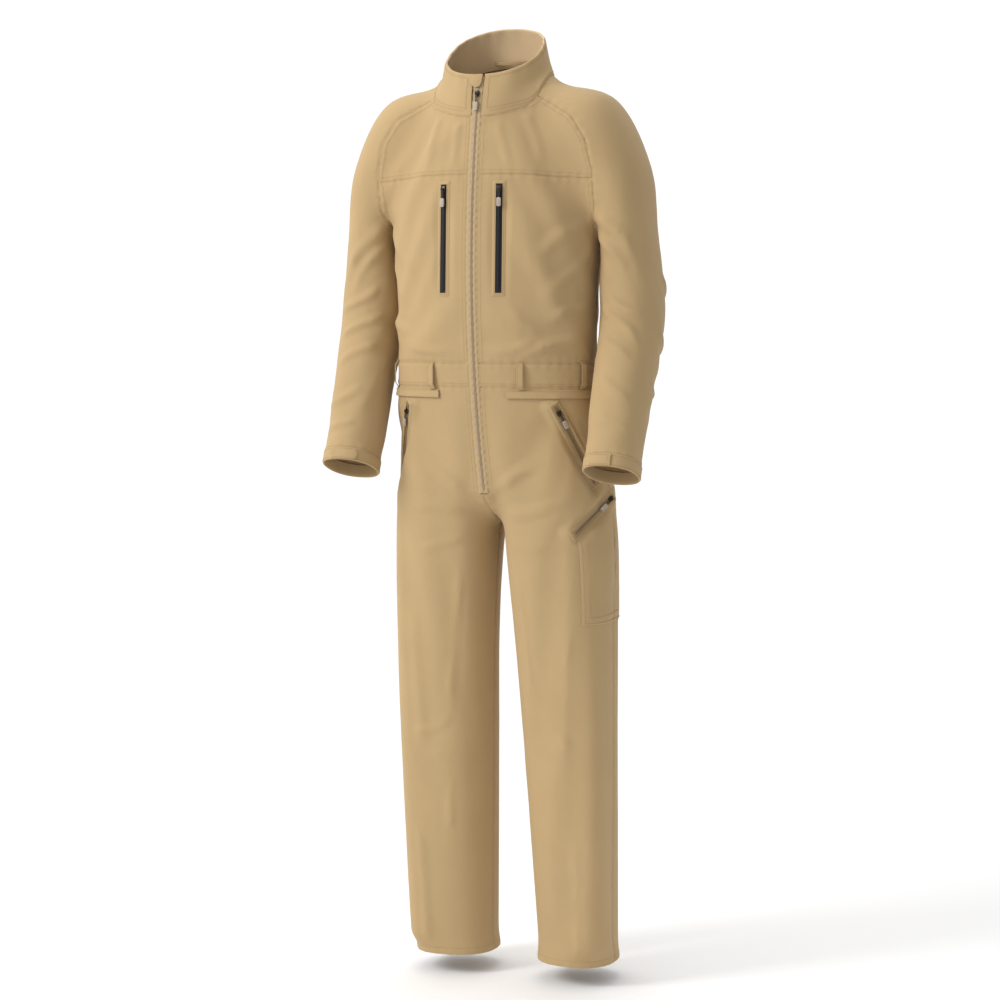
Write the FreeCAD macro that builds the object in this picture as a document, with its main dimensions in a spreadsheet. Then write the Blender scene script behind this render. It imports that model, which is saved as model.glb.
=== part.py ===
"""Zip-front one-piece work suit (coverall) for beekeeping, as a parametric FreeCAD document.

Frame: millimetres, +Z up, the front faces -Y and the wearer's left is +X.  The origin is the
centre of the neck opening, which is where the suit is held up.  The closed front zip lies on a
circular arc in the plane x = 0, so its slider turns about that arc's centre.
"""
import FreeCAD, Part
import math
import os

import Sketcher
from FreeCAD import Placement, Rotation, Vector

document = FreeCAD.newDocument("Coverall")
sizes = document.addObject("Spreadsheet::Sheet", "Sizes")

# ---------------------------------------------------------------- driving dimensions

DRIVING_SIZES = {
    "cloth": 1.2,              # thickness of a sewn cloth panel
    "fit_gap": 0.4,            # clearance between a laid-on piece and the cloth under it
    "fullness": 2.25,          # exponent of the body's rounded sections, 2 is an ellipse
    "front_radius": 1300.0,    # radius of the front zip's arc
    "front_centre_y": 1178.0,
    "front_centre_z": -284.0,
    "zip_gap": 17.0,           # distance between the two front edges
    "front_zip_top": 12.0,
    "front_zip_bottom": -652.0,
    "yoke_level": -144.0,
    "band_top": -441.0,
    "band_bottom": -480.0,
    "knee_level": -1040.0,
    "tape_thickness": 0.8,
    "coil_height": 1.5,
    "coil_width": 4.6,
    "coil_inset": 3.0,         # from a zip's end to its first tooth
    "run_clearance": 0.3,      # between a slider and what it runs on
    "slider_length": 10.0,
    "slider_width": 8.4,
    "plate_thickness": 1.2,
    "cheek_gap": 3.2,
    "cheek_thickness": 0.8,
    "cheek_length": 3.2,
    "cheek_cover": 1.3,        # cheek above the pin's middle
    "pin_radius": 0.7,
    "eye_bore": 0.78,
    "eye_radius": 1.7,
    "pull_neck": 14.0,         # from the pin to the soft end
    "cord_width": 2.2,
    "cord_thickness": 1.4,
    "cord_overlap": 0.4,       # cord inside the eye's ring
    "pull_end_length": 14.0,
    "pull_end_width": 7.0,
    "pull_end_thickness": 2.8,
    "front_slider_level": -16.0,
    "wind_flap_inset": 7.0,    # behind the front zip
    "wind_flap_half_width": 21.0,
    "wind_flap_end": 12.0,     # how much shorter than the zip it is at each end
    "pocket_tape_width": 11.4,
    "slot_margin": 0.4,        # between a pocket zip and the cloth round it
    "slot_depth": 14.0,        # cloth is cut through this far each side of a zip
    "zip_park": 8.0,           # middle of a closed slider from its zip's end
    "chest_zip_length": 172.0,
    "chest_zip_top": -158.0,
    "chest_zip_offset_right": 50.0,
    "chest_zip_offset_left": 45.0,
    "hand_zip_park": 16.0,
    "bag_thickness": 2.0,
    "chest_bag_depth": 5.0,    # how far behind its zip a pocket bag lies
    "chest_bag_width": 46.0,
    "chest_bag_above": 6.0,
    "chest_bag_below": 16.0,
    "hand_bag_depth": 15.0,
    "hand_bag_width": 44.0,
    "hand_bag_inset": 4.0,
    "thigh_pocket_inner_x": 100.0,
    "cuff_height": 20.0,
    "cuff_turning": 0.8,       # extra thickness of the folded cuff band
    "tab_root": 4.0,           # where a tab is sewn on, from the middle of the cuff
    "tab_length": 46.0,
    "tab_width": 19.0,
    "tab_thickness": 1.6,
    "loop_width": 11.0,
    "loop_length": 46.0,
    "loop_standoff": 5.6,
    "loop_cloth": 1.3,
    "loop_foot": 6.0,          # length of each sewn end
    "loop_foot_gap": 2.6,      # thickness of the cloth and stitches under it
    "loop_front_x": 76.0,
    "loop_side_x": 160.0,
    "loop_back_x": 70.0,
    "flap_drop": 4.0,          # from the waistband's edge to the seat flap
    "flap_height": 12.0,
    "flap_end_right": 57.0,    # the flap stops this far from the middle in front
    "flap_end_left": 46.0,
    "seat_zip_drop": 2.0,
    "seat_zip_width": 7.0,
    "seat_zip_thickness": 1.2,
    "garage_top": 15.0,
    "garage_standoff": 3.6,
    "garage_thickness": 1.6,
    "garage_left": 8.0,
    "garage_right": 19.0,
    "garage_tip_middle": -2.0,
    "garage_tip": 15.0,
    "garage_length": 22.0,
    "hanger_width": 62.0,
    "hanger_gap": 9.0,
    "hanger_height": 6.0,
    "hanger_cloth": 1.2,
    "hanger_end": 5.0,
    "hanger_setback": 7.0,     # room for the curve of the neck behind its two ends
    "hanger_drop": 2.0,
}

# Sections of the body tube: level at the front, level at the back, half width, back reach.
# The front reach follows the zip's arc.
BODY_SECTIONS = {
    "rim": (16.0, 100.0, 78.0, 50.0),
    "neck": (-45.0, 45.0, 86.0, 68.0),
    "neck_root": (-62.0, 12.0, 106.0, 84.0),
    "shoulder": (-92.0, -48.0, 144.0, 101.0),
    "yoke": (-144.0, -132.0, 173.0, 112.0),
    "armpit": (-195.0, -195.0, 180.0, 113.0),
    "chest": (-300.0, -300.0, 171.0, 103.0),
    "waist": (-400.0, -400.0, 168.0, 92.0),
    "belt": (-480.0, -480.0, 170.0, 92.0),
    "hip": (-545.0, -545.0, 174.0, 112.0),
    "seat": (-600.0, -600.0, 158.0, 112.0),
    "fork": (-640.0, -640.0, 84.0, 92.0),
}

# Sections of the left leg: level, centre from the middle plane, half width, front, back.
LEG_SECTIONS = {
    "groin": (-545.0, 86.0, 86.5, -85.5, 101.0),
    "thigh_top": (-620.0, 88.0, 90.0, -76.0, 111.0),
    "crotch": (-669.0, 93.0, 91.5, -67.0, 112.0),
    "thigh": (-740.0, 98.0, 89.0, -61.0, 111.0),
    "mid_thigh": (-890.0, 103.0, 83.0, -46.0, 117.0),
    "knee": (-1040.0, 105.0, 79.0, -30.0, 128.0),
    "calf": (-1240.0, 107.0, 73.0, -8.0, 144.0),
    "hem": (-1437.0, 108.0, 67.5, 15.0, 155.0),
}

# Sections of the left sleeve: centre x, y, z, direction of the arm x, y, z, half width, half depth.
SLEEVE_SECTIONS = {
    "root": (60.0, 5.0, -32.0, 0.85, 0.0, -0.53, 40.0, 62.0),
    "top": (148.0, 6.0, -76.0, 0.80, 0.0, -0.60, 74.0, 84.0),
    "cap": (205.0, 6.0, -140.0, 0.42, 0.0, -0.91, 57.0, 78.0),
    "under_arm": (224.0, 6.0, -222.0, 0.10, 0.0, -1.0, 44.5, 69.0),
    "elbow": (227.0, 8.0, -346.0, 0.0, -0.16, -0.99, 50.0, 63.0),
    "forearm": (227.0, -40.0, -480.0, 0.0, -0.36, -0.93, 46.5, 55.0),
    "wrist": (226.0, -85.0, -597.0, 0.0, -0.36, -0.93, 43.0, 50.0),
}

# Raglan seam and the middle of the space under the left arm: x and z, from the neck down.
RAGLAN_POINTS = {
    "neck": (66.0, 40.0),
    "collar_end": (76.0, -12.0),
    "shoulder": (150.0, -46.0),
    "shoulder_side": (176.0, -82.0),
    "yoke": (187.0, -130.0),
    "armpit": (187.5, -190.0),
    "armpit_end": (180.5, -215.0),
    "upper_gap": (176.2, -260.0),
    "lower_gap": (173.6, -320.0),
    "gap_end": (173.2, -700.0),
}

# Side seam of the trousers: y and z, from the waistband down.
SIDE_SEAM_POINTS = {
    "waist": (6.0, -400.0),
    "crotch": (22.0, -669.0),
    "knee": (48.0, -1040.0),
    "hem": (85.0, -1500.0),
}

# Outline of the thigh pocket seen from the wearer's left: y and z.
THIGH_POCKET_POINTS = {
    "front_top": (-48.0, -738.0),
    "back_top": (66.0, -652.0),
    "back_bottom": (66.0, -866.0),
    "front_bottom": (-34.0, -866.0),
    "front_corner": (-48.0, -850.0),
}

# Ends of the slanted zips on the wearer's left, and the way each faces: x, y and z.
ZIP_POINTS = {
    "hand_top": (126.0, -82.0, -507.0),
    "hand_bottom": (171.0, -6.0, -643.0),
    "hand_outward": (0.67, -0.74, 0.0),
    "thigh_top": (189.0, 20.0, -657.0),
    "thigh_bottom": (148.0, -52.0, -717.0),
    "thigh_outward": (0.86, -0.5, 0.0),
}

FAR = 600.0             # reach of the boxes and prisms that divide the cloth

TABLES = {
    "body": (BODY_SECTIONS, ("front_level", "back_level", "half_width", "back")),
    "leg": (LEG_SECTIONS, ("level", "centre", "half_width", "front", "back")),
    "sleeve": (
        SLEEVE_SECTIONS,
        ("x", "y", "z", "along_x", "along_y", "along_z", "half_width", "half_depth"),
    ),
    "raglan": (RAGLAN_POINTS, ("x", "z")),
    "side_seam": (SIDE_SEAM_POINTS, ("y", "z")),
    "thigh_pocket": (THIGH_POCKET_POINTS, ("y", "z")),
    "zip": (ZIP_POINTS, ("x", "y", "z")),
}


def fill_sheet():
    """Writes every driving dimension into the sheet, one named cell each."""
    cells = dict(DRIVING_SIZES)
    for table, (rows, fields) in TABLES.items():
        for name, numbers in rows.items():
            for field, number in zip(fields, numbers):
                cells[f"{table}_{name}_{field}"] = number
    for row, (alias, number) in enumerate(cells.items(), start=1):
        sizes.set(f"A{row}", alias)
        sizes.set(f"B{row}", str(number))
        sizes.setAlias(f"B{row}", alias)
    document.recompute()


fill_sheet()


def size(alias):
    """The number in the sheet's cell of that name."""
    return float(sizes.get(alias))


def row_numbers(table, name):
    """One row of a table, read back from the sheet."""
    fields = TABLES[table][1]
    return [size(f"{table}_{name}_{field}") for field in fields]


def outline(table):
    """Every row of a table of points, read back from the sheet."""
    rows = TABLES[table][0]
    return [tuple(row_numbers(table, name)) for name in rows]


# ---------------------------------------------------------------- rounded tubes of cloth

RING_POINTS = 20


def front_y(level):
    """Reach of the centre front at a level: the circular arc that the zip lies on."""
    rise = level - size("front_centre_z")
    return size("front_centre_y") - math.sqrt(size("front_radius") ** 2 - rise ** 2)


def rounded(angle):
    """Unit rounded-rectangle coordinates at an angle."""
    power = 2.0 / size("fullness")
    across = math.copysign(abs(math.cos(angle)) ** power, math.cos(angle))
    depth = math.copysign(abs(math.sin(angle)) ** power, math.sin(angle))
    return across, depth


def ring(centre, across, depth):
    """Closed smooth wire round a centre, with its half axes given as vectors."""
    points = []
    for step in range(RING_POINTS):
        u, v = rounded(2.0 * math.pi * (step + 0.5) / RING_POINTS)
        points.append(centre + across * u + depth * v)
    curve = Part.BSplineCurve()
    curve.interpolate(Points=points, PeriodicFlag=True)
    return Part.Wire([curve.toShape()])


def body_ring(section, offset):
    """Ring of the body tube, moved outward by an offset."""
    front_level, back_level, half_width, back = row_numbers("body", section)
    front = front_y(front_level)
    half_depth = (back - front) / 2.0
    centre = Vector(0, (front + back) / 2.0, (front_level + back_level) / 2.0)
    lean = Vector(0, back - front, back_level - front_level).normalize()
    reach = math.hypot(half_depth, (back_level - front_level) / 2.0)
    return ring(centre, Vector(half_width + offset, 0, 0), lean * (reach + offset))


def leg_ring(section, offset, side):
    """Ring of a leg tube; side is +1 for the wearer's left and -1 for the right."""
    level, across, half_width, front, back = row_numbers("leg", section)
    centre = Vector(side * across, (front + back) / 2.0, level)
    depth = Vector(0, (back - front) / 2.0 + offset, 0)
    return ring(centre, Vector(half_width + offset, 0, 0), depth)


def sleeve_axes(section):
    """Centre, direction of the arm, outward axis and front-to-back axis of a sleeve section."""
    numbers = row_numbers("sleeve", section)
    centre = Vector(*numbers[0:3])
    along = Vector(*numbers[3:6]).normalize()
    back = (Vector(0, 1, 0) - along * along.y).normalize()
    outward = along.cross(back)
    return centre, along, outward, back


def sleeve_ring(section, offset, shift=0.0):
    """Ring of the left sleeve, moved along the arm by a shift."""
    centre, along, outward, back = sleeve_axes(section)
    half_width, half_depth = row_numbers("sleeve", section)[6:8]
    return ring(centre + along * shift, outward * (half_width + offset), back * (half_depth + offset))


def tube(rings):
    """Solid with straight walls from each ring to the next."""
    return Part.makeLoft(rings, True, True)


def body_tube(sections, offset):
    """Solid through body sections."""
    return tube([body_ring(section, offset) for section in sections])


def leg_tube(sections, offset, side):
    """Solid through leg sections."""
    return tube([leg_ring(section, offset, side) for section in sections])


def sleeve_tube(offset):
    """Solid of the whole left sleeve."""
    return tube([sleeve_ring(section, offset) for section in SLEEVE_SECTIONS])


def mirrored(shape):
    """The same shape on the wearer's other side."""
    return shape.mirror(Vector(0, 0, 0), Vector(1, 0, 0))


def slab(low, high):
    """Box between two corners."""
    return Part.makeBox(high[0] - low[0], high[1] - low[1], high[2] - low[2], Vector(*low))


def prism_xz(outline):
    """Outline in the XZ plane, extruded right through the suit from front to back."""
    corners = [Vector(x, -FAR, z) for x, z in outline]
    face = Part.Face(Part.makePolygon(corners + corners[:1]))
    return face.extrude(Vector(0, 2.0 * FAR, 0))


def prism_yz(outline):
    """Outline in the YZ plane, extruded right through the suit from side to side."""
    corners = [Vector(-FAR, y, z) for y, z in outline]
    face = Part.Face(Part.makePolygon(corners + corners[:1]))
    return face.extrude(Vector(2.0 * FAR, 0, 0))


SUBPARTS = []


def keep(item, label):
    """Names a document object as a sub-part."""
    item.Label = label
    SUBPARTS.append(item)
    return item


def cloth_piece(label, shape):
    """Sub-part with a free-form cloth shape, kept as one or more clean solids."""
    solids = [solid for solid in shape.Solids if solid.Volume > 1.0]
    whole = solids[0] if len(solids) == 1 else Part.makeCompound(solids)
    place = whole.Placement
    item = document.addObject("Part::Feature", label)
    item.Shape = whole
    item.Placement = place
    return keep(item, label)


# ---------------------------------------------------------------- frames on the cloth

def body_numbers_at(level):
    """Half width, front and back reach of the body tube at a level, between its sections."""
    rows = []
    for section in ("armpit", "chest", "waist", "belt", "hip"):
        front_level, _, half_width, back = row_numbers("body", section)
        rows.append((front_level, half_width, back))
    upper = max(rows[:-1], key=lambda row: (row[0] >= level, -row[0]))
    lower = rows[rows.index(upper) + 1]
    share = (upper[0] - level) / (upper[0] - lower[0])
    half_width = upper[1] + (lower[1] - upper[1]) * share
    back = upper[2] + (lower[2] - upper[2]) * share
    return half_width, front_y(level), back


def body_surface(x, level, toward_back=False):
    """Point of the body's outer face at a distance from the middle and a level."""
    half_width, front, back = body_numbers_at(level)
    power = size("fullness")
    depth = (1.0 - min(1.0, abs(x) / half_width) ** power) ** (1.0 / power)
    half_depth = (back - front) / 2.0
    middle = (back + front) / 2.0
    return Vector(x, middle + half_depth * depth * (1.0 if toward_back else -1.0), level)


def body_normal(x, level, toward_back=False):
    """Horizontal outward direction of the body's face at that point."""
    half_width, front, back = body_numbers_at(level)
    power = size("fullness")
    half_depth = (back - front) / 2.0
    point = body_surface(x, level, toward_back)
    middle = (back + front) / 2.0
    across = math.copysign((abs(x) / half_width) ** (power - 1.0) / half_width, x)
    share = (point.y - middle) / half_depth
    depth = math.copysign(abs(share) ** (power - 1.0) / half_depth, share)
    return Vector(across, depth, 0).normalize()


def frame_along(start, end, outward):
    """Placement with local +X from start to end and local +Z as near outward as it can be."""
    along = (end - start).normalize()
    normal = (outward - along * outward.dot(along)).normalize()
    side = normal.cross(along)
    matrix = FreeCAD.Matrix(
        along.x, side.x, normal.x, start.x,
        along.y, side.y, normal.y, start.y,
        along.z, side.z, normal.z, start.z,
        0, 0, 0, 1,
    )
    return Placement(matrix)


def front_frame(level):
    """Placement on the front zip's arc: local +X down the zip, local +Z away from the body."""
    turn = math.asin((size("front_centre_z") - level) / size("front_radius"))
    start = Vector(0, front_y(level), level)
    down = Vector(0, math.sin(turn), -math.cos(turn))
    outward = Vector(0, -math.cos(turn), -math.sin(turn))
    return frame_along(start, start + down, outward)


# ---------------------------------------------------------------- sketched features

def new_body(label):
    """Empty design body."""
    return document.addObject("PartDesign::Body", label)


def new_sketch(body, plane, height="0"):
    """Sketch on one of the body's own planes, raised by an expression."""
    sketch = body.newObject("Sketcher::SketchObject", "Sketch")
    origin = [item for item in body.Origin.OriginFeatures if item.Role == plane][0]
    sketch.AttachmentSupport = [(origin, "")]
    sketch.MapMode = "FlatFace"
    sketch.setExpression("AttachmentOffset.Base.z", height)
    return sketch


def add_rectangle(sketch, left, bottom, width, height):
    """Rectangle whose corner and sides follow four expressions."""
    x, y, w, d = [float(sketch.evalExpression(text)) for text in (left, bottom, width, height)]
    corners = [Vector(x, y, 0), Vector(x + w, y, 0), Vector(x + w, y + d, 0), Vector(x, y + d, 0)]
    first = sketch.GeometryCount
    for index in range(4):
        sketch.addGeometry(Part.LineSegment(corners[index], corners[(index + 1) % 4]), False)
    for index in range(4):
        follower = first + (index + 1) % 4
        sketch.addConstraint(Sketcher.Constraint("Coincident", first + index, 2, follower, 1))
        direction = "Horizontal" if index % 2 == 0 else "Vertical"
        sketch.addConstraint(Sketcher.Constraint(direction, first + index))
    measures = [
        (Sketcher.Constraint("DistanceX", -1, 1, first, 1, x), left),
        (Sketcher.Constraint("DistanceY", -1, 1, first, 1, y), bottom),
        (Sketcher.Constraint("DistanceX", first, 1, first, 2, w), width),
        (Sketcher.Constraint("DistanceY", first + 1, 1, first + 1, 2, d), height),
    ]
    for constraint, expression in measures:
        index = sketch.addConstraint(constraint)
        sketch.setExpression(f"Constraints[{index}]", expression)


def add_circle(sketch, radius):
    """Circle on the sketch's origin whose radius follows an expression."""
    number = float(sketch.evalExpression(radius))
    circle = Part.Circle(Vector(0, 0, 0), Vector(0, 0, 1), number)
    first = sketch.addGeometry(circle, False)
    sketch.addConstraint(Sketcher.Constraint("Coincident", first, 3, -1, 1))
    index = sketch.addConstraint(Sketcher.Constraint("Radius", first, number))
    sketch.setExpression(f"Constraints[{index}]", radius)


def pad(body, sketch, length):
    """Pad of a sketch whose length follows an expression."""
    feature = body.newObject("PartDesign::Pad", "Pad")
    feature.Profile = sketch
    feature.setExpression("Length", length)
    sketch.Visibility = False
    body.Tip = feature
    return feature


def block(body, bottom, rectangles, height):
    """Pad of one or more rectangles, from a level up."""
    sketch = new_sketch(body, "XY_Plane", bottom)
    for rectangle in rectangles:
        add_rectangle(sketch, *rectangle)
    return pad(body, sketch, height)


# ---------------------------------------------------------------- zips

PLATE_BOTTOM = "Sizes.tape_thickness + Sizes.coil_height + Sizes.run_clearance"
PLATE_TOP = PLATE_BOTTOM + " + Sizes.plate_thickness"
PIN_HEIGHT = PLATE_TOP + " + Sizes.eye_radius + Sizes.run_clearance"


def pocket_zip(label, length):
    """Straight closed zip: a tape and the coil sewn along its middle."""
    body = new_body(label)
    tape = ("0", "-Sizes.pocket_tape_width / 2", length, "Sizes.pocket_tape_width")
    block(body, "0", [tape], "Sizes.tape_thickness")
    coil_length = f"{length} - 2 * Sizes.coil_inset"
    coil = ("Sizes.coil_inset", "-Sizes.coil_width / 2", coil_length, "Sizes.coil_width")
    block(body, "Sizes.tape_thickness", [coil], "Sizes.coil_height")
    return keep(body, label)


def slider(label):
    """Zip slider astride the coil, with two cheeks and the pin that its pull hangs on."""
    body = new_body(label)
    start = "-Sizes.slider_length / 2"
    plate = (start, "-Sizes.slider_width / 2", "Sizes.slider_length", "Sizes.slider_width")
    block(body, PLATE_BOTTOM, [plate], "Sizes.plate_thickness")
    flange = "(Sizes.slider_width - Sizes.coil_width) / 2 - Sizes.run_clearance"
    skirts = [
        (start, "-Sizes.slider_width / 2", "Sizes.slider_length", flange),
        (start, "Sizes.coil_width / 2 + Sizes.run_clearance", "Sizes.slider_length", flange),
    ]
    skirt_height = "Sizes.coil_height"
    block(body, "Sizes.tape_thickness + Sizes.run_clearance", skirts, skirt_height)
    outer_face = "-Sizes.cheek_gap / 2 - Sizes.cheek_thickness"
    cheeks = [
        ("-Sizes.cheek_length / 2", low, "Sizes.cheek_length", "Sizes.cheek_thickness")
        for low in (outer_face, "Sizes.cheek_gap / 2")
    ]
    cheek_height = "Sizes.eye_radius + Sizes.run_clearance + Sizes.cheek_cover"
    block(body, PLATE_TOP, cheeks, cheek_height)
    sketch = new_sketch(body, "XZ_Plane", outer_face)
    add_circle(sketch, "Sizes.pin_radius")
    sketch.setExpression("AttachmentOffset.Base.y", PIN_HEIGHT)
    pad(body, sketch, "Sizes.cheek_gap + 2 * Sizes.cheek_thickness")
    return keep(body, label)


def pull(label):
    """Zip pull: an eye round the slider's pin, a cord neck and a soft moulded end."""
    body = new_body(label)
    eye_width = "Sizes.cheek_gap - 2 * Sizes.run_clearance"
    sketch = new_sketch(body, "XZ_Plane", f"-({eye_width}) / 2")
    add_circle(sketch, "Sizes.eye_radius")
    add_circle(sketch, "Sizes.eye_bore")
    pad(body, sketch, eye_width)
    cord = ("Sizes.eye_bore + Sizes.cord_overlap", "-Sizes.cord_width / 2",
            "Sizes.pull_neck - Sizes.eye_bore", "Sizes.cord_width")
    block(body, "-Sizes.cord_thickness / 2", [cord], "Sizes.cord_thickness")
    end = ("Sizes.pull_neck", "-Sizes.pull_end_width / 2", "Sizes.pull_end_length",
           "Sizes.pull_end_width")
    block(body, "-Sizes.pull_end_thickness / 2", [end], "Sizes.pull_end_thickness")
    return keep(body, label)


def place_slider(name, frame, distance):
    """Slider and pull at a distance along a zip's frame."""
    at_slider = frame * Placement(Vector(distance, 0, 0), Rotation())
    slider(f"{name}_slider").Placement = at_slider
    puller = pull(f"{name}_pull")
    pin = float(sizes.evalExpression(PIN_HEIGHT))
    puller.Placement = at_slider * Placement(Vector(0, 0, pin), Rotation())


def zip_slot(frame, length):
    """Cut in the cloth that a pocket zip fills."""
    margin, depth = size("slot_margin"), size("slot_depth")
    width = size("pocket_tape_width") + 2.0 * margin
    corner = Vector(-margin, -width / 2.0, -depth)
    cut = Part.makeBox(length + 2.0 * margin, width, 2.0 * depth, corner)
    return cut.transformed(frame.toMatrix())


def chest_frame(side):
    """Frame of a chest zip, from its top end down."""
    across = side * size("chest_zip_offset_left" if side > 0 else "chest_zip_offset_right")
    top = size("chest_zip_top")
    bottom = top - size("chest_zip_length")
    start = Vector(across, front_y(top) + chest_recede(across, top), top)
    end = Vector(across, front_y(bottom) + chest_recede(across, bottom), bottom)
    return frame_along(start, end, body_normal(across, (top + bottom) / 2.0))


def chest_recede(across, level):
    """How far the chest falls back from the centre front at a distance from the middle."""
    level = min(level, size("body_armpit_front_level"))
    return body_surface(across, level).y - front_y(level)


def zip_vector(name):
    """Point or direction of a slanted zip, from the sheet."""
    return Vector(*row_numbers("zip", name))


def side_vector(vector, side):
    """The same vector on the wearer's left (+1) or right (-1)."""
    return Vector(side * vector.x, vector.y, vector.z)


def hand_frame(side):
    """Frame of a hand-pocket zip, from its upper end down."""
    names = ("hand_top", "hand_bottom", "hand_outward")
    return frame_along(*[side_vector(zip_vector(name), side) for name in names])


def thigh_frame():
    """Frame of the thigh-pocket zip on the left leg, from its rear upper end forward."""
    names = ("thigh_top", "thigh_bottom", "thigh_outward")
    return frame_along(*[zip_vector(name) for name in names])


HAND_ZIP_LENGTH = (zip_vector("hand_bottom") - zip_vector("hand_top")).Length
THIGH_ZIP_LENGTH = (zip_vector("thigh_bottom") - zip_vector("thigh_top")).Length
SIDES = (("right", -1), ("left", 1))


def arc_band(low_x, high_x, outer_offset, thickness, top, bottom):
    """Strip that follows the front zip's arc, between two distances from the middle plane."""
    radius = size("front_radius") + outer_offset
    centre = Vector(0, size("front_centre_y"), size("front_centre_z"))
    first = math.asin((centre.z - top) / size("front_radius"))
    last = math.asin((centre.z - bottom) / size("front_radius"))
    corners = [
        Vector(low_x, -radius, 0), Vector(high_x, -radius, 0),
        Vector(high_x, -radius + thickness, 0), Vector(low_x, -radius + thickness, 0),
    ]
    face = Part.Face(Part.makePolygon([centre + corner for corner in corners + corners[:1]]))
    face.rotate(centre, Vector(1, 0, 0), math.degrees(first))
    return face.revolve(centre, Vector(1, 0, 0), math.degrees(last - first))


# ---------------------------------------------------------------- cloth panels

TOP_SECTIONS = ["neck", "neck_root", "shoulder", "yoke", "armpit", "chest", "waist", "belt"]
HIP_SECTIONS = ["belt", "hip", "seat", "fork"]
COLLAR_SECTIONS = ["neck", "rim"]


def arm_side(side):
    """Space on the arm's side of the raglan seam and of the gap under the arm."""
    line = outline("raglan")
    space = prism_xz(line + [(FAR, line[-1][1]), (FAR, line[0][1])])
    return space if side > 0 else mirrored(space)


def upper_shell():
    """Cloth of the body above the trousers and of both sleeves, before it is cut into panels."""
    thickness = size("cloth")
    sleeve = sleeve_tube(0.0)
    hollow = sleeve_tube(-thickness)
    outside = body_tube(TOP_SECTIONS, 0.0).fuse([sleeve, mirrored(sleeve)])
    inside = body_tube(TOP_SECTIONS, -thickness).fuse([hollow, mirrored(hollow)])
    collar_space = body_tube(COLLAR_SECTIONS, size("fit_gap"))
    return outside.cut(inside).cut(collar_space)


def trouser_shell():
    """Cloth of the seat and both legs, before it is cut into panels."""
    thickness = size("cloth")
    legs = [leg_tube(LEG_SECTIONS, 0.0, side) for side in (1, -1)]
    hollows = [leg_tube(LEG_SECTIONS, -thickness, side) for side in (1, -1)]
    outside = body_tube(HIP_SECTIONS, 0.0).fuse(legs)
    inside = body_tube(HIP_SECTIONS, -thickness).fuse(hollows)
    return outside.cut(inside)


def front_slot():
    """Gap between the two front edges, through the front wall only."""
    half = size("zip_gap") / 2.0
    return slab((-half, -FAR / 2.0, size("front_zip_bottom") - 2.0), (half, -20.0, 2.0 * FAR))


def make_top_panels():
    """Yokes, front and back panels, waistband and sleeves."""
    shell = upper_shell()
    band_top = size("band_top")
    yoke = size("yoke_level")
    arms = {name: arm_side(side) for name, side in SIDES}
    trunk = shell.cut(list(arms.values())).cut(front_slot())
    for name, side in SIDES:
        trunk = trunk.cut(zip_slot(chest_frame(side), size("chest_zip_length")))
    above = 2.0 * FAR
    side_seam = 0.0
    for name, side in SIDES:
        low_x, high_x = (0.0, FAR) if side > 0 else (-FAR, 0.0)
        front = trunk.common(slab((low_x, -FAR, -2.0 * FAR), (high_x, side_seam, above)))
        cloth_piece(f"front_yoke_{name}", front.common(slab((-FAR, -FAR, yoke), (FAR, FAR, above))))
        panel = slab((-FAR, -FAR, band_top), (FAR, FAR, yoke))
        cloth_piece(f"front_panel_{name}", front.common(panel))
        band = slab((-FAR, -FAR, -FAR), (FAR, FAR, band_top))
        cloth_piece(f"waistband_front_{name}", front.common(band))
    back = trunk.common(slab((-FAR, side_seam, -2.0 * FAR), (FAR, FAR, above)))
    cloth_piece("back_yoke", back.common(slab((-FAR, -FAR, yoke), (FAR, FAR, above))))
    cloth_piece("back_panel", back.common(slab((-FAR, -FAR, band_top), (FAR, FAR, yoke))))
    cloth_piece("waistband_back", back.common(slab((-FAR, -FAR, -FAR), (FAR, FAR, band_top))))
    elbow_cut = elbow_space()
    for name, side in SIDES:
        sleeve = shell.common(arms[name])
        cloth_piece(f"sleeve_upper_{name}", sleeve.cut(elbow_cut))
        cloth_piece(f"sleeve_lower_{name}", sleeve.common(elbow_cut))


def elbow_space():
    """Space below the plane across both elbows."""
    centre, along, _, _ = sleeve_axes("elbow")
    reach = FAR / 2.0
    box = Part.makeBox(4.0 * FAR, reach * 2.0, reach * 2.0, Vector(-2.0 * FAR, -reach, 0.0))
    tilt = Rotation(Vector(0, 0, 1), along)
    box.transformShape(Placement(Vector(0, centre.y, centre.z), tilt).toMatrix())
    return box


def make_trouser_panels():
    """Front and back trouser panels of both legs, divided at the knee."""
    shell = trouser_shell().cut(front_slot())
    for name, side in SIDES:
        shell = shell.cut(zip_slot(hand_frame(side), HAND_ZIP_LENGTH))
    shell = shell.cut(zip_slot(thigh_frame(), THIGH_ZIP_LENGTH))
    seam = outline("side_seam")
    before = prism_yz(seam + [(-FAR, seam[-1][1]), (-FAR, seam[0][1])])
    below_knee = slab((-FAR, -FAR, -3.0 * FAR), (FAR, FAR, size("knee_level")))
    for name, side in SIDES:
        low_x, high_x = (0.0, FAR) if side > 0 else (-FAR, 0.0)
        half = shell.common(slab((low_x, -FAR, -3.0 * FAR), (high_x, FAR, 0.0)))
        for face, piece in (("front", half.common(before)), ("back", half.cut(before))):
            cloth_piece(f"trouser_{face}_{name}", piece.cut(below_knee))
            cloth_piece(f"lower_leg_{face}_{name}", piece.common(below_knee))


def make_collar():
    """Stand collar: an outer cloth layer and a lining."""
    thickness = size("cloth")
    layers = (("collar_outer", 0.0), ("collar_lining", -thickness - 0.1))
    for label, offset in layers:
        outside = body_tube(COLLAR_SECTIONS, offset)
        inside = body_tube(COLLAR_SECTIONS, offset - thickness)
        cloth_piece(label, outside.cut(inside).cut(front_slot()))


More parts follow.
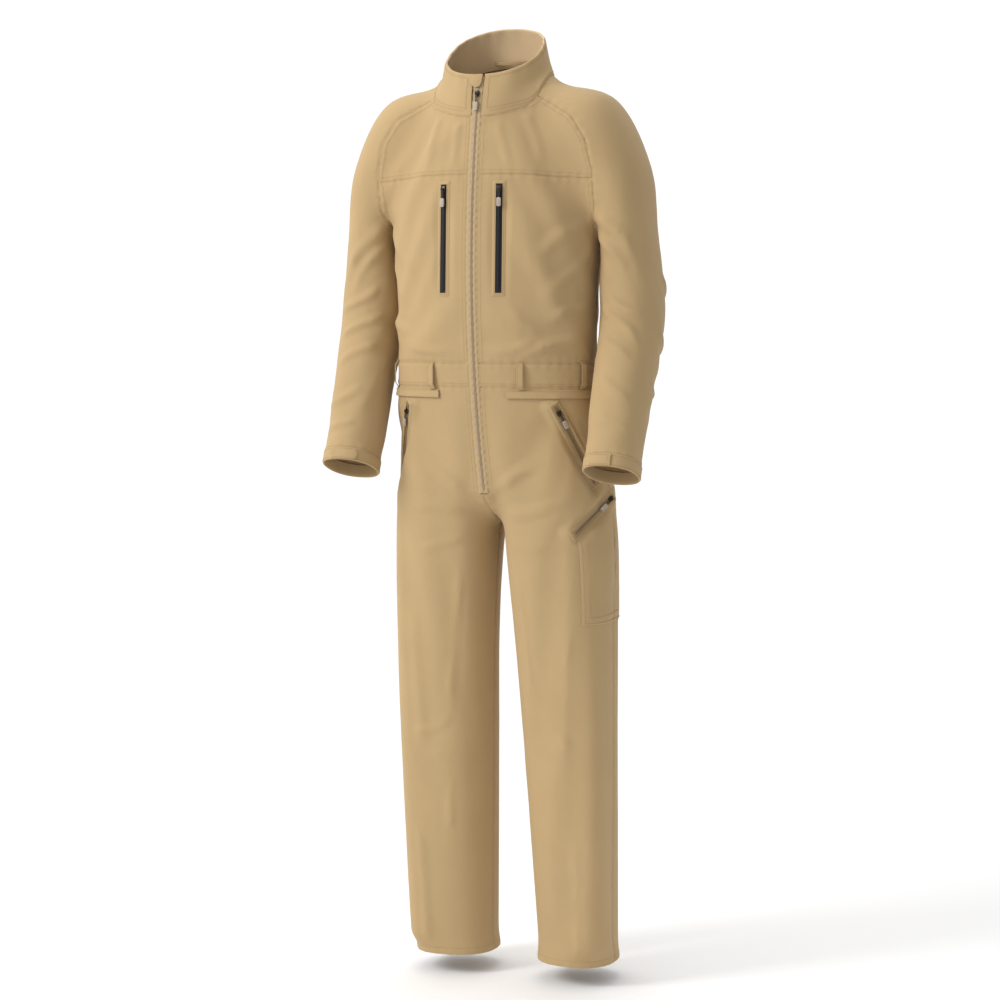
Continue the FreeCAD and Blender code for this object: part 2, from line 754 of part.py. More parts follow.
def make_cuffs():
    """Cuff bands on the ends of both sleeves."""
    band_thickness = size("cloth") + size("cuff_turning")
    height = size("cuff_height")
    outside = tube([sleeve_ring("wrist", 0.0), sleeve_ring("wrist", 0.0, height)])
    inside = tube([
        sleeve_ring("wrist", -band_thickness), sleeve_ring("wrist", -band_thickness, height),
    ])
    band = outside.cut(inside)
    cloth_piece("cuff_band_left", band)
    cloth_piece("cuff_band_right", mirrored(band))


def make_seat_opening():
    """Zip that lets the seat down, just inside the cloth, and the flap that covers it."""
    upper = HIP_SECTIONS[:2]
    gap, cloth = size("fit_gap"), size("cloth")
    flap_top = size("band_bottom") - size("flap_drop")
    zip_top = flap_top - size("seat_zip_drop")
    flap_space = slab((-FAR, -FAR, flap_top - size("flap_height")), (FAR, FAR, flap_top))
    zip_space = slab((-FAR, -FAR, zip_top - size("seat_zip_width")), (FAR, FAR, zip_top))
    front_break = slab((-size("flap_end_right"), -FAR, -FAR), (size("flap_end_left"), 0.0, FAR))
    flap = body_tube(upper, gap + cloth).cut(body_tube(upper, gap))
    cloth_piece("seat_zip_flap", flap.common(flap_space).cut(front_break))
    outer = -cloth - gap
    chain = body_tube(upper, outer).cut(body_tube(upper, outer - size("seat_zip_thickness")))
    cloth_piece("seat_zip", chain.common(zip_space).cut(front_break))


def make_front_zip():
    """Front zip on its arc: two tapes, the closed coil and the wind flap behind them."""
    top, bottom = size("front_zip_top"), size("front_zip_bottom")
    half_gap = size("zip_gap") / 2.0 - 0.2
    half_coil = size("coil_width") / 2.0
    tape = size("tape_thickness")
    tapes = [
        arc_band(low, low + half_gap - half_coil, tape, tape, top, bottom)
        for low in (-half_gap, half_coil)
    ]
    cloth_piece("front_zip_tapes", Part.makeCompound(tapes))
    coil_height = tape + size("coil_height")
    inset = size("coil_inset")
    coil = arc_band(
        -half_coil, half_coil, coil_height, coil_height, top - inset, bottom + 2.0 * inset,
    )
    cloth_piece("front_zip_coil", coil)
    half_flap, end = size("wind_flap_half_width"), size("wind_flap_end")
    flap = arc_band(
        -half_flap, half_flap, -size("wind_flap_inset"), size("cloth"), top - end, bottom + end,
    )
    cloth_piece("wind_flap", flap)
    place_slider("front_zip", front_frame(size("front_slider_level")), 0.0)


def pocket_bag(frame, start, end, width, depth):
    """Flat pocket bag at a depth behind its zip."""
    thickness = size("bag_thickness")
    corner = Vector(start, -width / 2.0, -depth - thickness)
    return Part.makeBox(end - start, width, thickness, corner).transformed(frame.toMatrix())


def make_chest_pockets():
    """Chest zips with their sliders, pulls and bags."""
    start = -size("chest_bag_above")
    end = size("chest_zip_length") + size("chest_bag_below")
    width, depth = size("chest_bag_width"), size("chest_bag_depth")
    bags = []
    for name, side in SIDES:
        frame = chest_frame(side)
        pocket_zip(f"chest_zip_{name}", "Sizes.chest_zip_length").Placement = frame
        place_slider(f"chest_zip_{name}", frame, size("zip_park"))
        bags.append(pocket_bag(frame, start, end, width, depth))
    cloth_piece("chest_pocket_bags", Part.makeCompound(bags))


def make_hand_pockets():
    """Slanted hand-pocket zips with their sliders, pulls and bags."""
    start = size("hand_bag_inset")
    end = HAND_ZIP_LENGTH - start
    width, depth = size("hand_bag_width"), size("hand_bag_depth")
    bags = []
    for name, side in SIDES:
        frame = hand_frame(side)
        pocket_zip(f"hand_zip_{name}", str(HAND_ZIP_LENGTH)).Placement = frame
        place_slider(f"hand_zip_{name}", frame, size("hand_zip_park"))
        bags.append(pocket_bag(frame, start, end, width, depth))
    cloth_piece("hand_pocket_bags", Part.makeCompound(bags))


def make_thigh_pocket():
    """Patch pocket on the outside of the left thigh, below its slanted zip."""
    frame = thigh_frame()
    pocket_zip("thigh_zip", str(THIGH_ZIP_LENGTH)).Placement = frame
    place_slider("thigh_zip", frame, size("zip_park"))
    gap = size("fit_gap")
    sections = ["thigh_top", "crotch", "thigh", "mid_thigh", "knee"]
    layer = leg_tube(sections, gap + size("cloth"), 1).cut(leg_tube(sections, gap, 1))
    window = prism_yz(outline("thigh_pocket"))
    outer_side = slab((size("thigh_pocket_inner_x"), -FAR, -2.0 * FAR), (FAR, FAR, 0.0))
    clear = zip_slot(frame, THIGH_ZIP_LENGTH)
    cloth_piece("thigh_pocket", layer.common(window).common(outer_side).cut(clear))


# ---------------------------------------------------------------- small sewn pieces

def make_belt_loops():
    """Belt loops: strips that stand off the waistband between their two sewn ends."""
    middle = (size("band_top") + size("band_bottom")) / 2.0
    length, width = size("loop_length"), size("loop_width")
    stand, cloth = size("loop_standoff"), size("loop_cloth")
    foot, foot_gap = size("loop_foot"), size("loop_foot_gap")
    places = [
        (side * size(f"loop_{place}_x"), place == "back")
        for place in ("front", "side", "back")
        for side in (-1, 1)
    ]
    loops = []
    for across, toward_back in places:
        base = body_surface(across, middle, toward_back)
        normal = body_normal(across, middle, toward_back)
        frame = frame_along(base, base + Vector(0, 0, -1), normal)
        strip = Part.makeBox(length, width, cloth, Vector(-length / 2, -width / 2, stand))
        feet = [
            Part.makeBox(foot, width, stand - foot_gap, Vector(start, -width / 2, foot_gap))
            for start in (-length / 2, length / 2 - foot)
        ]
        loops.append(strip.fuse(feet).removeSplitter().transformed(frame.toMatrix()))
    cloth_piece("belt_loops", Part.makeCompound(loops))


def make_cuff_tabs():
    """Hook-and-loop tabs on the cuffs: a strip with a rounded free end."""
    centre, along, outward, back = sleeve_axes("wrist")
    half_depth = row_numbers("sleeve", "wrist")[7]
    gap = size("fit_gap")
    middle = centre + along * (size("cuff_height") / 2.0) - back * (half_depth + gap)
    for name, side in SIDES:
        body = new_body(f"cuff_tab_{name}")
        strip = ("0", "-Sizes.tab_width / 2", "Sizes.tab_length - Sizes.tab_width / 2",
                 "Sizes.tab_width")
        block(body, "0", [strip], "Sizes.tab_thickness")
        sketch = new_sketch(body, "XY_Plane")
        add_circle(sketch, "Sizes.tab_width / 2")
        sketch.setExpression("AttachmentOffset.Base.x", "Sizes.tab_length - Sizes.tab_width / 2")
        pad(body, sketch, "Sizes.tab_thickness")
        start = middle + outward * size("tab_root")
        body.Placement = frame_along(
            side_vector(start, side),
            side_vector(start - outward, side),
            side_vector(back * -1.0, side),
        )
        keep(body, f"cuff_tab_{name}")


def make_zip_garage():
    """Tapered tongue on the right collar end that covers the top of the closed front zip."""
    frame = front_frame(size("garage_top"))
    rise, length = size("garage_standoff"), size("garage_length")
    middle, half_tip = size("garage_tip_middle"), size("garage_tip") / 2.0
    corners = [
        Vector(0, -size("garage_right"), rise), Vector(0, size("garage_left"), rise),
        Vector(length, middle + half_tip, rise), Vector(length, middle - half_tip, rise),
    ]
    face = Part.Face(Part.makePolygon(corners + corners[:1]))
    tongue = face.extrude(Vector(0, 0, size("garage_thickness")))
    cloth_piece("zip_garage", tongue.transformed(frame.toMatrix()))


def make_hanger_loop():
    """Loop inside the back of the neck that the suit is hung up by."""
    width, gap = size("hanger_width"), size("hanger_gap")
    _, back_level, _, back = row_numbers("body", "neck")
    inner_face = back - 2.0 * size("cloth") - size("hanger_setback")
    height, cloth, end = size("hanger_height"), size("hanger_cloth"), size("hanger_end")
    low = Vector(-width / 2.0, inner_face - gap - cloth, back_level - size("hanger_drop"))
    strip = Part.makeBox(width, cloth, height, low)
    posts = [
        Part.makeBox(end, gap + cloth, height, Vector(start, low.y, low.z))
        for start in (-width / 2.0, width / 2.0 - end)
    ]
    cloth_piece("hanger_loop", strip.fuse(posts).removeSplitter())


# ---------------------------------------------------------------- build, test and write

def check_document():
    """Stops the script if any feature failed or any sub-part isn't a sound solid."""
    document.recompute()
    for item in document.Objects:
        if "Invalid" in item.State or "Error" in item.State:
            raise RuntimeError(f"{item.Label} failed: {item.State}")
    for item in SUBPARTS:
        if item.Shape.isNull() or not item.Shape.isValid() or not item.Shape.Solids:
            raise RuntimeError(f"{item.Label} has no sound shape")


def write_parts():
    """Writes each sub-part to its own file."""
    os.makedirs("parts", exist_ok=True)
    for item in SUBPARTS:
        item.Shape.exportStep(f"parts/{item.Label}.step")
        solids = len(item.Shape.Solids)
        print(f"{item.Label}: {solids} solid(s), {item.Shape.Volume / 1000.0:.2f} cm3")
    print(f"{len(SUBPARTS)} nodes")


make_top_panels()
make_trouser_panels()
make_collar()
make_cuffs()
make_seat_opening()
make_front_zip()
make_chest_pockets()
make_hand_pockets()
make_thigh_pocket()
make_belt_loops()
make_cuff_tabs()
make_zip_garage()
make_hanger_loop()
check_document()
write_parts()
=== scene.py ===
import math

import bmesh
import bpy
import numpy as np
from mathutils import Matrix, Vector
from mathutils.bvhtree import BVHTree
from mathutils.kdtree import KDTree


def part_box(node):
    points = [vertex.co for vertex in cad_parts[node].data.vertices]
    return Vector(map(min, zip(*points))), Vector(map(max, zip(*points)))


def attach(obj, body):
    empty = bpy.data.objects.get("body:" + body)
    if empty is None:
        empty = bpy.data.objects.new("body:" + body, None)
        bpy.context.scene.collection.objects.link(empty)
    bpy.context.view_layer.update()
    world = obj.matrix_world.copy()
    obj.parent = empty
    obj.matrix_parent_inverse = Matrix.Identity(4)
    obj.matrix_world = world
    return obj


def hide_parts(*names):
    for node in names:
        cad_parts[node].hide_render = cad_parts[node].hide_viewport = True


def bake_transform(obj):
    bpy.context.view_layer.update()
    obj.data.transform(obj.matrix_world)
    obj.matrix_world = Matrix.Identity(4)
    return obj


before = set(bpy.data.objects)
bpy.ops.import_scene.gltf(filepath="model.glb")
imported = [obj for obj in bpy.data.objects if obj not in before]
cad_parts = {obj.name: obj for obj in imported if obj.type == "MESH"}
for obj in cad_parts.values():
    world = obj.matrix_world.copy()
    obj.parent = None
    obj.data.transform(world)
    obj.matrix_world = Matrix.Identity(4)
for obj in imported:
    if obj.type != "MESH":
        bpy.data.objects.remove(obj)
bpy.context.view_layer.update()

MM = 0.001
SIDES = (("right", -1), ("left", 1))

# ---------------------------------------------------------------- shape of the suit, in mm

# Body sections: level at the front, level at the back, half width, back reach.
BODY = [
    (16, 100, 78, 50), (-45, 45, 86, 68), (-62, 12, 106, 84), (-92, -48, 144, 101),
    (-144, -132, 173, 112), (-195, -195, 180, 113), (-300, -300, 171, 103), (-400, -400, 168, 94),
    (-441, -441, 168, 92), (-480, -480, 170, 93), (-545, -545, 174, 112), (-600, -600, 158, 112),
    (-640, -640, 84, 92), (-664, -664, 36, 72),
]
# Sections of the left leg: level, centre, half width, front, back.
LEG = [
    (-545, 86, 82, -80, 97), (-620, 88, 90, -76, 111), (-669, 93, 91.5, -67, 112),
    (-740, 98, 89, -61, 111), (-890, 103, 83, -46, 117), (-1040, 105, 79, -30, 128),
    (-1240, 107, 73, -8, 144), (-1437, 108, 67.5, 15, 155), (-1457, 108, 67, 17, 156),
]
# Sections of the left sleeve: centre, direction, half width, half depth.
SLEEVE = [
    (60, 5, -32, .85, 0, -.53, 40, 62), (148, 6, -76, .80, 0, -.60, 74, 84),
    (202, 6, -140, .42, 0, -.91, 52, 77), (221, 6, -222, .10, 0, -1, 42, 68),
    (227, 8, -346, 0, -.16, -.99, 50, 63), (227, -40, -480, 0, -.36, -.93, 46.5, 55),
    (226, -85, -597, 0, -.36, -.93, 43, 50), (226, -92.2, -615.6, 0, -.36, -.93, 43, 50),
]
WRIST = SLEEVE[6]
# Raglan seam and the middle of the gap under the left arm: x and z.
RAGLAN = [
    (60, 80), (66, 40), (76, -12), (150, -46), (176, -82), (187, -130), (187.5, -190),
    (180.5, -215), (176.2, -260), (173.6, -320), (173.2, -700),
]
SIDE_SEAM = [(0, -300), (6, -400), (22, -669), (48, -1040), (85, -1500)]
YOKE = -0.144
BAND_TOP = -0.441
BAND_BOTTOM = -0.480
HEM = -1.437
SLOT_HALF = 0.0085
# Limits of the front half in y and of the neck in x, used only to pick faces.
FRONT_HALF = -0.02
NECK_REACH = 0.13
SLOT_END = -0.654
SLEEVE_SPLIT = -0.300
FULLNESS = 2.25
FRONT_RADIUS = 1.300
FRONT_Y = 1.178
FRONT_Z = -0.284
SKIN_VOXEL = 0.0068
# Beyond any distance on the suit, in metres.
FAR = 9.0


def front_y(z):
    """Reach of the centre front at a level: the arc that the zip lies on."""
    return FRONT_Y - math.sqrt(FRONT_RADIUS ** 2 - (z - FRONT_Z) ** 2)


def smooth(t):
    """0 before 0, 1 after 1 and an S in between."""
    t = np.clip(t, 0.0, 1.0)
    return t * t * (3.0 - 2.0 * t)


def rounded(angle):
    """Points of the rounded section of unit size at given angles: across and deep."""
    power = 2.0 / FULLNESS
    return [np.sign(f(angle)) * np.abs(f(angle)) ** power for f in (np.cos, np.sin)]


def ring(centre, across, depth, count=72):
    """Closed rounded section, as an array of points."""
    u, v = rounded((np.arange(count) + 0.5) * 2.0 * math.pi / count)
    return np.array(centre) + np.outer(u, across) + np.outer(v, depth)


def body_axes(section):
    """Centre, half width and depth axis of a body section."""
    front_level, back_level, half, back = section
    front = front_y(front_level * MM) / MM
    centre = (0, (front + back) / 2, (front_level + back_level) / 2)
    return centre, half, (0, (back - front) / 2, (back_level - front_level) / 2)


def body_rings():
    """Rings of the trunk."""
    return [ring(centre, (half, 0, 0), depth) for centre, half, depth in map(body_axes, BODY)]


def leg_rings():
    """Rings of the left leg."""
    return [
        ring((cx, (front + back) / 2, level), (half, 0, 0), (0, (back - front) / 2, 0))
        for level, cx, half, front, back in LEG
    ]


def sleeve_axes(row):
    """Centre, direction, outward and backward axes of a sleeve section."""
    along = Vector(row[3:6]).normalized()
    back = (Vector((0, 1, 0)) - along * along.y).normalized()
    return Vector(row[0:3]), along, along.cross(back), back


def sleeve_rings():
    """Rings of the left sleeve."""
    rings = []
    for row in SLEEVE:
        centre, _, outward, back = sleeve_axes(row)
        rings.append(ring(centre, outward * row[6], back * row[7]))
    return rings


def between(rings, step=9.0):
    """Smooth rings through the given ones, about one step apart."""
    rings = np.array(rings)
    gaps = np.linalg.norm(np.diff(rings.mean(axis=1), axis=0), axis=1)
    slope = np.diff(rings, axis=0) / gaps[:, None, None]
    tangent = np.empty_like(rings)
    tangent[0], tangent[-1] = slope[0], slope[-1]
    w = (gaps[1:] / (gaps[1:] + gaps[:-1]))[:, None, None]
    tangent[1:-1] = slope[:-1] * w + slope[1:] * (1 - w)
    made = []
    for i, gap in enumerate(gaps):
        count = max(2, int(round(gap / step)))
        for k in range(count):
            t = k / count
            place = rings[i] * (1 + 2 * t) * (1 - t) ** 2 + rings[i + 1] * t * t * (3 - 2 * t)
            leaving, coming = tangent[i] * gap * t * (1 - t) ** 2, tangent[i + 1] * gap * t * t * (t - 1)
            made.append(place + leaving + coming)
    made.append(rings[-1])
    return made


def quads(high, wide, closed=True, looped=False):
    """Faces between rows of points: closed joins a row's ends, looped the last row to the first."""
    faces = []
    for r in range(high if looped else high - 1):
        a, b = r * wide, (r + 1) % high * wide
        for k in range(wide if closed else wide - 1):
            n = (k + 1) % wide
            faces.append((a + k, a + n, b + n, b + k))
    return faces


def caps(high, wide):
    """Faces over the two ends of a closed tube."""
    return [tuple(reversed(range(wide))), tuple(range((high - 1) * wide, high * wide))]


def tube_mesh(rings):
    """Vertices in metres and faces of a closed tube through rings."""
    high, wide = len(rings), len(rings[0])
    return np.concatenate(rings) * MM, quads(high, wide) + caps(high, wide)


def joined(parts):
    """Vertices and faces of several meshes as one."""
    points, faces, start = [], [], 0
    for some, their in parts:
        points.append(np.array(some))
        faces += [tuple(i + start for i in face) for face in their]
        start += len(some)
    return np.concatenate(points), faces


def new_object(name, points, faces):
    """Mesh object in the scene."""
    mesh = bpy.data.meshes.new(name)
    mesh.from_pydata([tuple(p) for p in points], [], faces)
    mesh.update()
    obj = bpy.data.objects.new(f"{name}_shape", mesh)
    bpy.context.scene.collection.objects.link(obj)
    return obj


def face_outward(obj):
    """Turns the faces of a closed mesh outward."""
    bm = bmesh.new()
    bm.from_mesh(obj.data)
    bmesh.ops.recalc_face_normals(bm, faces=bm.faces)
    bm.to_mesh(obj.data)
    bm.free()


def shade_smooth(obj):
    """Shades every face of an object smooth."""
    obj.data.polygons.foreach_set("use_smooth", [True] * len(obj.data.polygons))


# The sleeves and legs are held a little apart while the skin is made, and then moved back.
ARM_SPREAD = 0.014
LEG_SPREAD = 0.008


def arm_spread(z):
    """Sideways move of a sleeve below the armpit."""
    return ARM_SPREAD * smooth((-0.185 - z) / 0.06)


def leg_spread(z):
    """Sideways move of a leg below the crotch."""
    return LEG_SPREAD * smooth((-0.650 - z) / 0.05)


def arm_line(co):
    """Positive on the arm's side of the raglan seam and of the gap under the arm."""
    x, y, z = np.abs(co[:, 0]), co[:, 1], co[:, 2]
    x = x - 0.35 * np.clip(y + 0.075, 0, None) * smooth((-0.42 - z) / 0.1)
    line = np.array(RAGLAN) * MM
    best = np.full(len(x), FAR)
    side = np.zeros(len(x))
    for a, b in zip(line[:-1], line[1:]):
        d = b - a
        px = x - arm_spread(z) / 2 - a[0]
        pz = z - a[1]
        t = np.clip((px * d[0] + pz * d[1]) / (d @ d), 0, 1)
        ox, oz = px - t * d[0], pz - t * d[1]
        far = np.hypot(ox, oz)
        cross = d[1] * ox - d[0] * oz
        near = far < best - 1e-9
        best = np.where(near, far, best)
        side = np.where(near, np.sign(-cross), side)
    return np.where(z > -0.68, best * side, -1.0)


def side_line(y, z):
    """Positive behind the trousers' side seam."""
    seam = np.array(SIDE_SEAM[::-1]) * MM
    return y - np.interp(z, seam[:, 1], seam[:, 0])


def neck_line(co):
    """Positive above the seam between the collar and the body."""
    front, back = front_y(-0.045), 0.068
    beside = np.clip(np.abs(co[:, 0]) - 0.086, 0, None)
    return co[:, 2] - (-0.045 + (co[:, 1] - front) / (back - front) * 0.090) - 3.0 * beside


def wrist_line(co, side):
    """Positive beyond the seam between a sleeve and its cuff."""
    centre, along, _, _ = sleeve_axes(WRIST)
    point = np.array(centre) * MM * (side, 1, 1)
    return (co - point) @ (np.array(along) * (side, 1, 1))


def skin():
    """One closed skin round the trunk, both legs and both sleeves."""
    parts = [tube_mesh(between(body_rings()))]
    for rings, spread in ((leg_rings(), leg_spread), (sleeve_rings(), arm_spread)):
        points, faces = tube_mesh(between(rings))
        points[:, 0] += spread(points[:, 2])
        parts.append((points, faces))
        parts.append((points * (-1, 1, 1), [face[::-1] for face in faces]))
    obj = new_object("skin", *joined(parts))
    face_outward(obj)
    remesh = obj.modifiers.new("remesh", "REMESH")
    remesh.mode = "VOXEL"
    remesh.voxel_size = SKIN_VOXEL
    remesh.adaptivity = 0.0
    apply_modifiers(obj)
    return obj


def apply_modifiers(obj):
    """Replaces an object's mesh with its evaluated one."""
    graph = bpy.context.evaluated_depsgraph_get()
    mesh = bpy.data.meshes.new_from_object(obj.evaluated_get(graph))
    obj.modifiers.clear()
    obj.data = mesh


def read(items, attribute, wide, kind=float):
    """An attribute of mesh elements as an array with rows of a given width."""
    made = np.empty(len(items) * wide, kind)
    items.foreach_get(attribute, made)
    return made.reshape(-1, wide)


def coords(mesh):
    """Vertex positions as an array."""
    return read(mesh.vertices, "co", 3)


def set_coords(mesh, co):
    """Moves the vertices to an array of positions."""
    mesh.vertices.foreach_set("co", np.ascontiguousarray(co).ravel())
    mesh.update()


def edge_array(mesh):
    """Vertex pairs of the edges."""
    return read(mesh.edges, "vertices", 2, np.int64)


def to_neighbours(values, pairs):
    """From each vertex's value to the mean of its neighbours' values."""
    size = len(values)
    ends = (pairs[:, 0], pairs[:, 1]), (pairs[:, 1], pairs[:, 0])
    total = sum(
        np.stack([np.bincount(a, values[b, axis], size) for axis in range(3)], axis=1)
        for a, b in ends
    )
    return total / np.maximum(np.bincount(pairs.ravel(), minlength=size), 1)[:, None] - values


def even_out(values, pairs, rounds, shares=(0.5,)):
    """Moves values towards their neighbours' mean, by each share in turn."""
    for _ in range(rounds):
        for share in shares:
            values = values + share * to_neighbours(values, pairs)
    return values


def normals(mesh):
    """Vertex normals as an array."""
    return read(mesh.vertices, "normal", 3)


def fill_valleys(mesh, share, rounds):
    """Fills creases between the joined tubes without wearing down what stands out."""
    pairs = edge_array(mesh)
    co = coords(mesh)
    facing = normals(mesh)
    for turn in range(rounds):
        step = to_neighbours(co, pairs)
        out = np.clip((step * facing).sum(axis=1), 0, None)
        co = co + step * np.where(out > 0, 0.9, 0.0)[:, None] * share(co)[:, None]
        if turn % 10 == 9:
            set_coords(mesh, co)
            facing = normals(mesh)
    set_coords(mesh, co)


def cut_along(bm, value, inside):
    """Divides the faces where value changes sign, so that edges run along that line."""
    verts = list(bm.verts)
    co = np.array([v.co for v in verts])
    use = inside(co)
    val = value(co)
    val[np.abs(val) < 2e-6] = 0.0
    f = {v: val[i] for i, v in enumerate(verts) if use[i]}
    moves = {}
    for e in bm.edges:
        a, b = e.verts
        if a in f and b in f and f[a] * f[b] < 0:
            t = f[a] / (f[a] - f[b])
            for v, other, share in ((a, b, t), (b, a, 1 - t)):
                if share < 0.3 and (v not in moves or moves[v][0] > share):
                    moves[v] = (share, v.co.lerp(other.co, share))
    for v, (_, place) in moves.items():
        v.co = place
        f[v] = 0.0
    for e in list(bm.edges):
        a, b = e.verts
        if a in f and b in f and f[a] * f[b] < 0:
            t = f[a] / (f[a] - f[b])
            _, new = bmesh.utils.edge_split(e, a, t)
            f[new] = 0.0
    for face in list(bm.faces):
        zero = [v for v in face.verts if f.get(v) == 0.0]
        if len(zero) < 2 or len(face.verts) < 4:
            continue
        around = list(face.verts)
        for i in range(len(zero) - 1):
            for k in range(i + 1, len(zero)):
                gap = abs(around.index(zero[i]) - around.index(zero[k]))
                if gap not in (1, len(around) - 1):
                    bmesh.utils.face_split(face, zero[i], zero[k])
                    break
            else:
                continue
            break


PIECES = [
    "front_yoke_right", "front_yoke_left", "front_panel_right", "front_panel_left",
    "waistband_front_right", "waistband_front_left", "back_yoke", "back_panel", "waistband_back",
    "sleeve_upper_right", "sleeve_upper_left", "sleeve_lower_right", "sleeve_lower_left",
    "trouser_front_right", "trouser_front_left", "trouser_back_right", "trouser_back_left",
]


def piece_of(co):
    """Index of the cloth piece that each point belongs to, or -1 for the zip's slot."""
    x, y, z = co.T
    arm = arm_line(co) > 0
    left = x > 0
    front = np.where(z > BAND_BOTTOM, y < 0, side_line(y, z) < 0)
    made = np.full(len(co), -2)

    def put(mask, name_right, name_left):
        made[mask & ~left] = PIECES.index(name_right)
        made[mask & left] = PIECES.index(name_left)

    put(arm & (z > SLEEVE_SPLIT), "sleeve_upper_right", "sleeve_upper_left")
    put(arm & (z <= SLEEVE_SPLIT), "sleeve_lower_right", "sleeve_lower_left")
    rest = ~arm
    bands = [
        (z > YOKE, "front_yoke", "back_yoke"),
        ((z <= YOKE) & (z > BAND_TOP), "front_panel", "back_panel"),
        ((z <= BAND_TOP) & (z > BAND_BOTTOM), "waistband_front", "waistband_back"),
    ]
    for band, name, behind in bands:
        put(rest & band & front, name + "_right", name + "_left")
        put(rest & band & ~front, behind, behind)
    low = rest & (z <= BAND_BOTTOM)
    put(low & front, "trouser_front_right", "trouser_front_left")
    put(low & ~front, "trouser_back_right", "trouser_back_left")
    made[(np.abs(x) < SLOT_HALF) & (y < FRONT_HALF) & (z > SLOT_END)] = -1
    return made


def cut_seams(obj):
    """Cuts the skin along every seam, opens it at neck, cuffs, hems and front, and marks the pieces."""
    bm = bmesh.new()
    bm.from_mesh(obj.data)

    def level(z):
        return lambda co: co[:, 2] - z

    def upright(x):
        return lambda co: co[:, 0] - x

    def arm(co):
        return arm_line(co) > -0.004

    def not_arm(co):
        return ~arm(co)

    def trunk(co):
        return (arm_line(co) < 0.004) & (co[:, 2] > BAND_BOTTOM - 0.004)

    def wrist(side):
        return (lambda co: wrist_line(co, side),
                lambda co: (co[:, 0] * side > 0) & arm(co) & (co[:, 2] < -0.5))

    def beside_slot(co):
        return (co[:, 1] < FRONT_HALF) & (co[:, 2] > SLOT_END - 0.001)

    def trousers(co):
        return co[:, 2] < BAND_BOTTOM + 0.001

    def centre_seam(co):
        return trousers(co) & ((co[:, 1] > FRONT_HALF) | (co[:, 2] < SLOT_END + 0.001))

    cuts = [
        (neck_line, lambda co: (np.abs(co[:, 0]) < NECK_REACH) & (co[:, 2] > -0.08)),
        wrist(1),
        wrist(-1),
        (level(HEM), lambda co: co[:, 2] < HEM + 0.03),
        (arm_line, lambda co: co[:, 2] > -0.24),
        (level(SLEEVE_SPLIT), arm),
        (lambda co: co[:, 1], trunk),
        (level(YOKE), trunk),
        (level(BAND_TOP), not_arm),
        (level(BAND_BOTTOM), not_arm),
        (lambda co: side_line(co[:, 1], co[:, 2]), lambda co: not_arm(co) & trousers(co)),
        (level(SLOT_END), lambda co: (np.abs(co[:, 0]) < 0.02) & (co[:, 1] < FRONT_HALF)),
        (upright(SLOT_HALF), beside_slot),
        (upright(-SLOT_HALF), beside_slot),
        (upright(0.0), centre_seam),
    ]
    for value, inside in cuts:
        cut_along(bm, value, inside)
    bmesh.ops.triangulate(bm, faces=[f for f in bm.faces if len(f.verts) > 4])
    mark = bm.faces.layers.int.new("piece")
    faces = list(bm.faces)
    centres = np.array([f.calc_center_median() for f in faces])
    piece = piece_of(centres)
    gone = (neck_line(centres) > 0) & (np.abs(centres[:, 0]) < NECK_REACH)
    gone |= centres[:, 2] < HEM
    arms = (arm_line(centres) > 0) & (centres[:, 2] < -0.5)
    for side in (-1, 1):
        gone |= arms & (centres[:, 0] * side > 0) & (wrist_line(centres, side) > 0)
    gone |= piece < 0
    for face, number in zip(faces, piece):
        face[mark] = int(number)
    bmesh.ops.delete(bm, geom=[f for f, out in zip(faces, gone) if out], context="FACES")
    bm.to_mesh(obj.data)
    bm.free()


def joined_zones(co):
    """Where the trunk meets the sleeves and the legs."""
    x, z = np.abs(co[:, 0]), co[:, 2]
    shoulder = smooth((x - 0.04) / 0.04) * smooth((0.235 - x) / 0.03) * smooth((z + 0.215) / 0.03)
    groin = smooth((0.13 - np.abs(z + 0.60)) / 0.03) * smooth((0.17 - x) / 0.03)
    return np.maximum(shoulder, 0.8 * groin)


def segment_distance(co, a, b):
    """Distance of points from a segment."""
    a, b = np.array(a), np.array(b)
    d = b - a
    t = np.clip((co - a) @ d / (d @ d), 0, 1)
    return np.linalg.norm(co - a - t[:, None] * d, axis=1)


def zip_lines():
    """Ends of the pocket zips, in metres."""
    lines = []
    for x in (-50, 45):
        lines.append(((x, -107, -158), (x, -107, -330)))
    for side in (-1, 1):
        lines.append(((side * 126, -82, -507), (side * 171, -6, -643)))
    lines.append(((189, 20, -657), (148, -52, -717)))
    return [(np.array(a) * MM, np.array(b) * MM) for a, b in lines]


def pin_weights(co):
    """How firmly each vertex is held while the cloth settles: 1 is fixed."""
    x, y, z = co.T
    arm = arm_line(co) > 0
    held = np.zeros(len(co))

    def hold(distance, near, far):
        nonlocal held
        held = np.maximum(held, 1 - smooth((distance - near) / (far - near)))

    from_band = np.clip(np.maximum(z - BAND_TOP, BAND_BOTTOM - 0.016 - z), 0, None)
    from_neck = np.where(neck_line(co) < 0, -neck_line(co), 0) + np.clip(np.abs(x) - 0.10, 0, None)
    hold(np.where(arm, FAR, from_band), 0.0, 0.012)
    hold(np.where((y < 0) & (z > SLOT_END - 0.01), np.abs(x), FAR), 0.014, 0.022)
    hold(from_neck, 0.012, 0.02)
    for side in (-1, 1):
        hold(np.where(arm & (x * side > 0), np.abs(wrist_line(co, side)), FAR), 0.006, 0.012)
    for a, b in zip_lines():
        hold(segment_distance(co, a, b), 0.012, 0.022)
    return held


